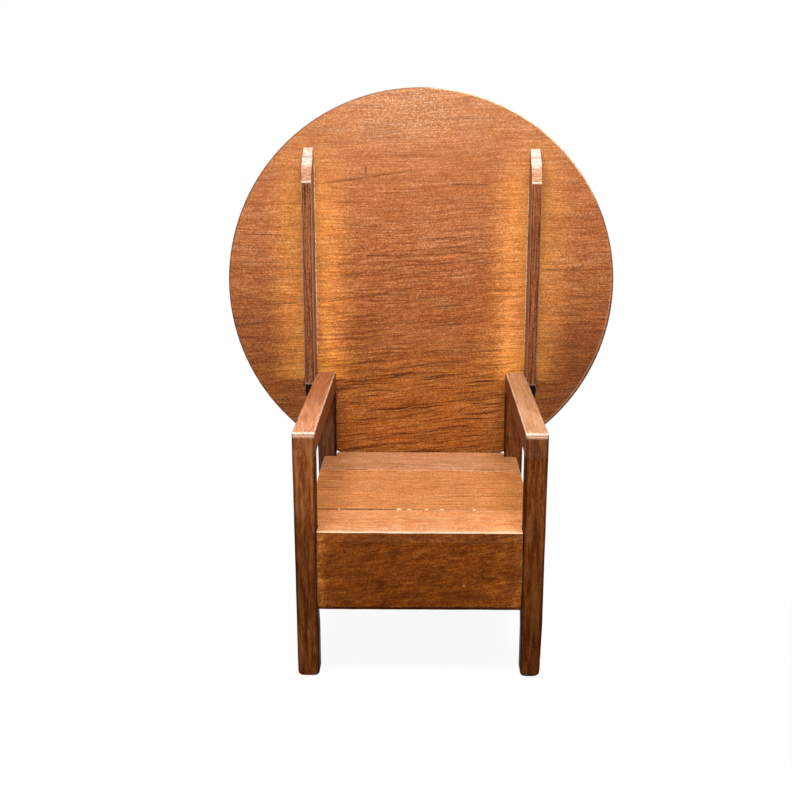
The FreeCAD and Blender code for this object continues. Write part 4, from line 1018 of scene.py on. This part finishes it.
for index, (name, look) in enumerate(SEAT_BOARDS.items()):
    calm = 0.55 if name == "lid_front_board" else 1.0
    seat_woods[name] = wood(f"{name} mahogany", "x", 19 + index, SEAT_TONES, figure=0.45 * calm,
                            speckle=0.80 if name != "lid_front_board" else 0.50, streak=0.30 * calm, streak_share=0.25,
                            streak_cell=(120, 4), hair=0.30 * calm, lines=0.50 * calm,
                            coarse=1.9, specular=0.12,
                            local=seat_look(name, *look))
    dress([name], seat_woods[name])
take_place(worn_lid_front("worn_lid_front_board", "lid_front_board", 131.0),
           seat_woods["lid_front_board"], "seat_lid", "seat_wood", "lid_front_board")
front_wood = wood("front panel mahogany", "x", PANEL_SEED, PANEL_TONES, local=panel_look,
                  specular=0.03, **PANEL_GRAIN)
dress(["front_panel"], front_wood)
take_place(worn_panel("worn_front_panel", "front_panel", 91.0), front_wood, "chair", "panel_wood",
           "front_panel")


def old_glue(name, tones):
    """Cloudy amber glue with paler chalky bits."""
    graph = Graph(name)
    x, y, z = graph.object_place()
    cloud = graph.noise(graph.vector(graph.mul(x, 300.0), graph.mul(y, 300.0),
                                     graph.mul(z, 300.0)), 3.0, 0.6)
    colour = graph.palette(cloud, [(0.40, tones[0]), (0.52, tones[1]), (0.64, tones[2])])
    gloss = graph.ramp(cloud, 0.3, 0.7, 0.55, 0.75)
    finish_surface(graph, colour, gloss, cloud, 0.3, 0.03, 0.0)
    return graph.material


# Old glue beside the battens, painted paler than it is, painted light that keeps it a pale line in the battens' shade.
PALE_LIT_GLUE = old_glue("old glue", [(0.30, 0.15, 0.05), (0.80, 0.58, 0.32), (1.0, 0.86, 0.60)])
BROWN_GLUE = old_glue("brown glue", [(0.10, 0.045, 0.015), (0.24, 0.12, 0.045), (0.40, 0.23, 0.10)])
bead = glue_bead("glue_line_batten_left", (-0.3336, TOP_FACE_Y), (1.0, -1.0), 0.735, 1.345, 201.0,
                 4.2 * MM)
take_place(bead, PALE_LIT_GLUE, "top", "batten_wood")
bead = glue_bead("glue_line_batten_right", (0.3336, TOP_FACE_Y), (-1.0, -1.0), 0.735, 1.275, 203.0,
                 3.4 * MM)
take_place(bead, PALE_LIT_GLUE, "top", "batten_wood")
panel_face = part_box("front_panel")[0].y
bead = glue_bead("glue_line_panel_left", (-0.273, panel_face), (1.0, -1.0), 0.214, 0.386, 205.0,
                 1.2 * MM)
take_place(bead, BROWN_GLUE, "chair", "panel_wood")
bead = glue_bead("glue_line_panel_right", (0.273, panel_face), (-1.0, -1.0), 0.240, 0.372, 207.0,
                 0.8 * MM)
take_place(bead, BROWN_GLUE, "chair", "panel_wood")
dress(["back_panel"], wood("back panel mahogany", "x", 31, PANEL_TONES, specular=0.1))
for index, name in enumerate(("side_panel_left", "side_panel_right")):
    dress([name], wood(f"{name} mahogany", "y", 33 + index, PANEL_TONES, specular=0.1))
inner = wood("inner deal", "x", 41, INNER_TONES, streak=0.2, roughness=0.6, specular=0.1)
inner_long = wood("inner deal lengthwise", "y", 43, INNER_TONES, streak=0.2, roughness=0.6,
                  specular=0.1)
dress(["box_bottom", "bottom_cleat_front", "bottom_cleat_back"], inner)
dress(["bottom_cleat_left", "bottom_cleat_right", "seat_cleat_left", "seat_cleat_right",
       "lid_cleat_left", "lid_cleat_right"], inner_long)
dress(["panel_dowels", "batten_dowels"], inner)
dress(["pivot_pin_left", "pivot_pin_right"],
      wood("pin hardwood", "x", 47, [(0.08, 0.028, 0.012), (0.18, 0.065, 0.030),
                                     (0.30, 0.12, 0.06)]))


def metal(name, seed, tones, roughness):
    """Aged metal: tarnish in clouds, fine scratches."""
    graph = Graph(name)
    x, y, z = graph.object_place()
    cloud = graph.noise(graph.vector(graph.add(graph.mul(x, 140.0), seed), graph.mul(y, 140.0),
                                     graph.mul(z, 140.0)), 4.0, 0.65)
    scratch = graph.noise(graph.vector(graph.mul(x, 60.0), graph.mul(y, 900.0),
                                       graph.mul(z, 2400.0)), 2.0)
    value = graph.add(graph.mul(cloud, 0.75), graph.mul(scratch, 0.25))
    colour = graph.palette(value, [(0.34, tones[0]), (0.52, tones[1]), (0.68, tones[2])])
    gloss = graph.ramp(cloud, 0.30, 0.70, roughness + 0.15, roughness - 0.08)
    finish_surface(graph, colour, gloss, graph.add(scratch, cloud), 0.3, 0.5, 0.0, metallic=1.0)
    return graph.material


BRASS = metal("aged brass", 3.0, [(0.16, 0.09, 0.03), (0.52, 0.36, 0.14), (0.78, 0.60, 0.28)], 0.34)
STEEL = metal("steel wire", 11.0, [(0.18, 0.17, 0.16), (0.42, 0.41, 0.39), (0.60, 0.59, 0.57)], 0.3)
dress([name for name in NODES if name.endswith("_leaf") or name.endswith("_screws")], BRASS)
dress([name for name in NODES if name.startswith("hinge_pin")], STEEL)


# ---------------------------------------------------------------- floor, light and camera
def pale_floor():
    """A large pale floor: white to the camera, but for the chair's soft shadow near its feet."""
    mesh = bpy.data.meshes.new("floor")
    half = 14.0
    mesh.from_pydata([(-half, -half, -0.0005), (half, -half, -0.0005), (half, half, -0.0005),
                      (-half, half, -0.0005)], [], [(0, 1, 2, 3)])
    floor = bpy.data.objects.new("floor", mesh)
    bpy.context.scene.collection.objects.link(floor)
    graph = Graph("pale floor")
    x, y, z = graph.object_place()
    radius = graph.math("SQRT", graph.add(graph.mul(x, x), graph.mul(y, y)))
    far = graph.ramp(radius, 0.45, 1.25)
    ray = graph.node("ShaderNodeLightPath")
    seen = graph.high(ray.outputs["Is Camera Ray"],
                      graph.high(ray.outputs["Is Glossy Ray"], ray.outputs["Is Transmission Ray"]))
    matt = graph.node("ShaderNodeBsdfDiffuse")
    matt.inputs["Color"].default_value = (0.72, 0.72, 0.72, 1.0)
    lit = graph.node("ShaderNodeBsdfDiffuse")
    graph.put(lit.inputs["Color"], graph.palette(far, [(0.0, (0.11, 0.11, 0.11)),
                                                       (1.0, (0.0, 0.0, 0.0))]))
    glow = graph.node("ShaderNodeEmission")
    graph.put(glow.inputs["Strength"], graph.ramp(far, 0.0, 1.0, 0.925, 1.0, smooth=False))
    both = graph.node("ShaderNodeAddShader")
    graph.put(both.inputs[0], lit.outputs[0])
    graph.put(both.inputs[1], glow.outputs[0])
    pick = graph.node("ShaderNodeMixShader")
    graph.put(pick.inputs[0], seen)
    graph.put(pick.inputs[1], matt.outputs[0])
    graph.put(pick.inputs[2], both.outputs[0])
    output = graph.node("ShaderNodeOutputMaterial")
    graph.put(output.inputs["Surface"], pick.outputs[0])
    mesh.materials.append(graph.material)


def white_world():
    """White where it is seen directly or mirrored; a softer fill for everything else."""
    world = bpy.data.worlds.new("studio")
    bpy.context.scene.world = world
    world.use_nodes = True
    tree = world.node_tree
    tree.nodes.clear()
    ray = tree.nodes.new("ShaderNodeLightPath")
    seen = tree.nodes.new("ShaderNodeMath")
    seen.operation = "MAXIMUM"
    tree.links.new(ray.outputs["Is Camera Ray"], seen.inputs[0])
    tree.links.new(ray.outputs["Is Glossy Ray"], seen.inputs[1])
    through = tree.nodes.new("ShaderNodeMath")
    through.operation = "MAXIMUM"
    tree.links.new(seen.outputs[0], through.inputs[0])
    tree.links.new(ray.outputs["Is Transmission Ray"], through.inputs[1])
    level = tree.nodes.new("ShaderNodeMapRange")
    tree.links.new(through.outputs[0], level.inputs["Value"])
    level.inputs["To Min"].default_value = WORLD_FILL
    level.inputs["To Max"].default_value = 1.0
    background = tree.nodes.new("ShaderNodeBackground")
    background.inputs["Color"].default_value = (1.0, 1.0, 1.0, 1.0)
    tree.links.new(level.outputs[0], background.inputs["Strength"])
    output = tree.nodes.new("ShaderNodeOutputWorld")
    tree.links.new(background.outputs[0], output.inputs["Surface"])


def area_lamp(name, place, target, size, power, colour=(1.0, 1.0, 1.0)):
    data = bpy.data.lights.new(name, "AREA")
    data.shape = "RECTANGLE"
    data.size, data.size_y = size
    data.energy = power
    data.color = colour
    lamp = bpy.data.objects.new(name, data)
    lamp.location = place
    lamp.rotation_euler = (Vector(target) - Vector(place)).to_track_quat("-Z", "Y").to_euler()
    bpy.context.scene.collection.objects.link(lamp)


WORLD_FILL = 0.14
pale_floor()
white_world()
area_lamp("overhead", (0.05, -1.0, 3.15), (0.0, -0.1, 0.6), (2.3, 1.2), 108.0)
area_lamp("front fill", (-0.8, -4.4, 2.4), (0.0, 0.0, 0.7), (2.6, 2.0), 20.0)
area_lamp("rear fill", (0.6, 3.6, 2.6), (0.0, 0.38, 0.8), (2.4, 2.0), 70.0)

camera_data = bpy.data.cameras.new("camera")
camera_data.lens = 50.0
camera_data.sensor_width = 36.0
camera_data.shift_x = -24.5 / 800.0
camera = bpy.data.objects.new("camera", camera_data)
camera.location = (0.0, FRONT_Y - 2.755, 1.474)
camera.rotation_euler = (Matrix.Rotation(math.radians(75.9), 3, "X")
                         @ Matrix.Rotation(math.radians(0.3), 3, "Z")).to_euler()
bpy.context.scene.collection.objects.link(camera)
bpy.context.scene.camera = camera
bpy.context.scene.view_settings.view_transform = "Standard"
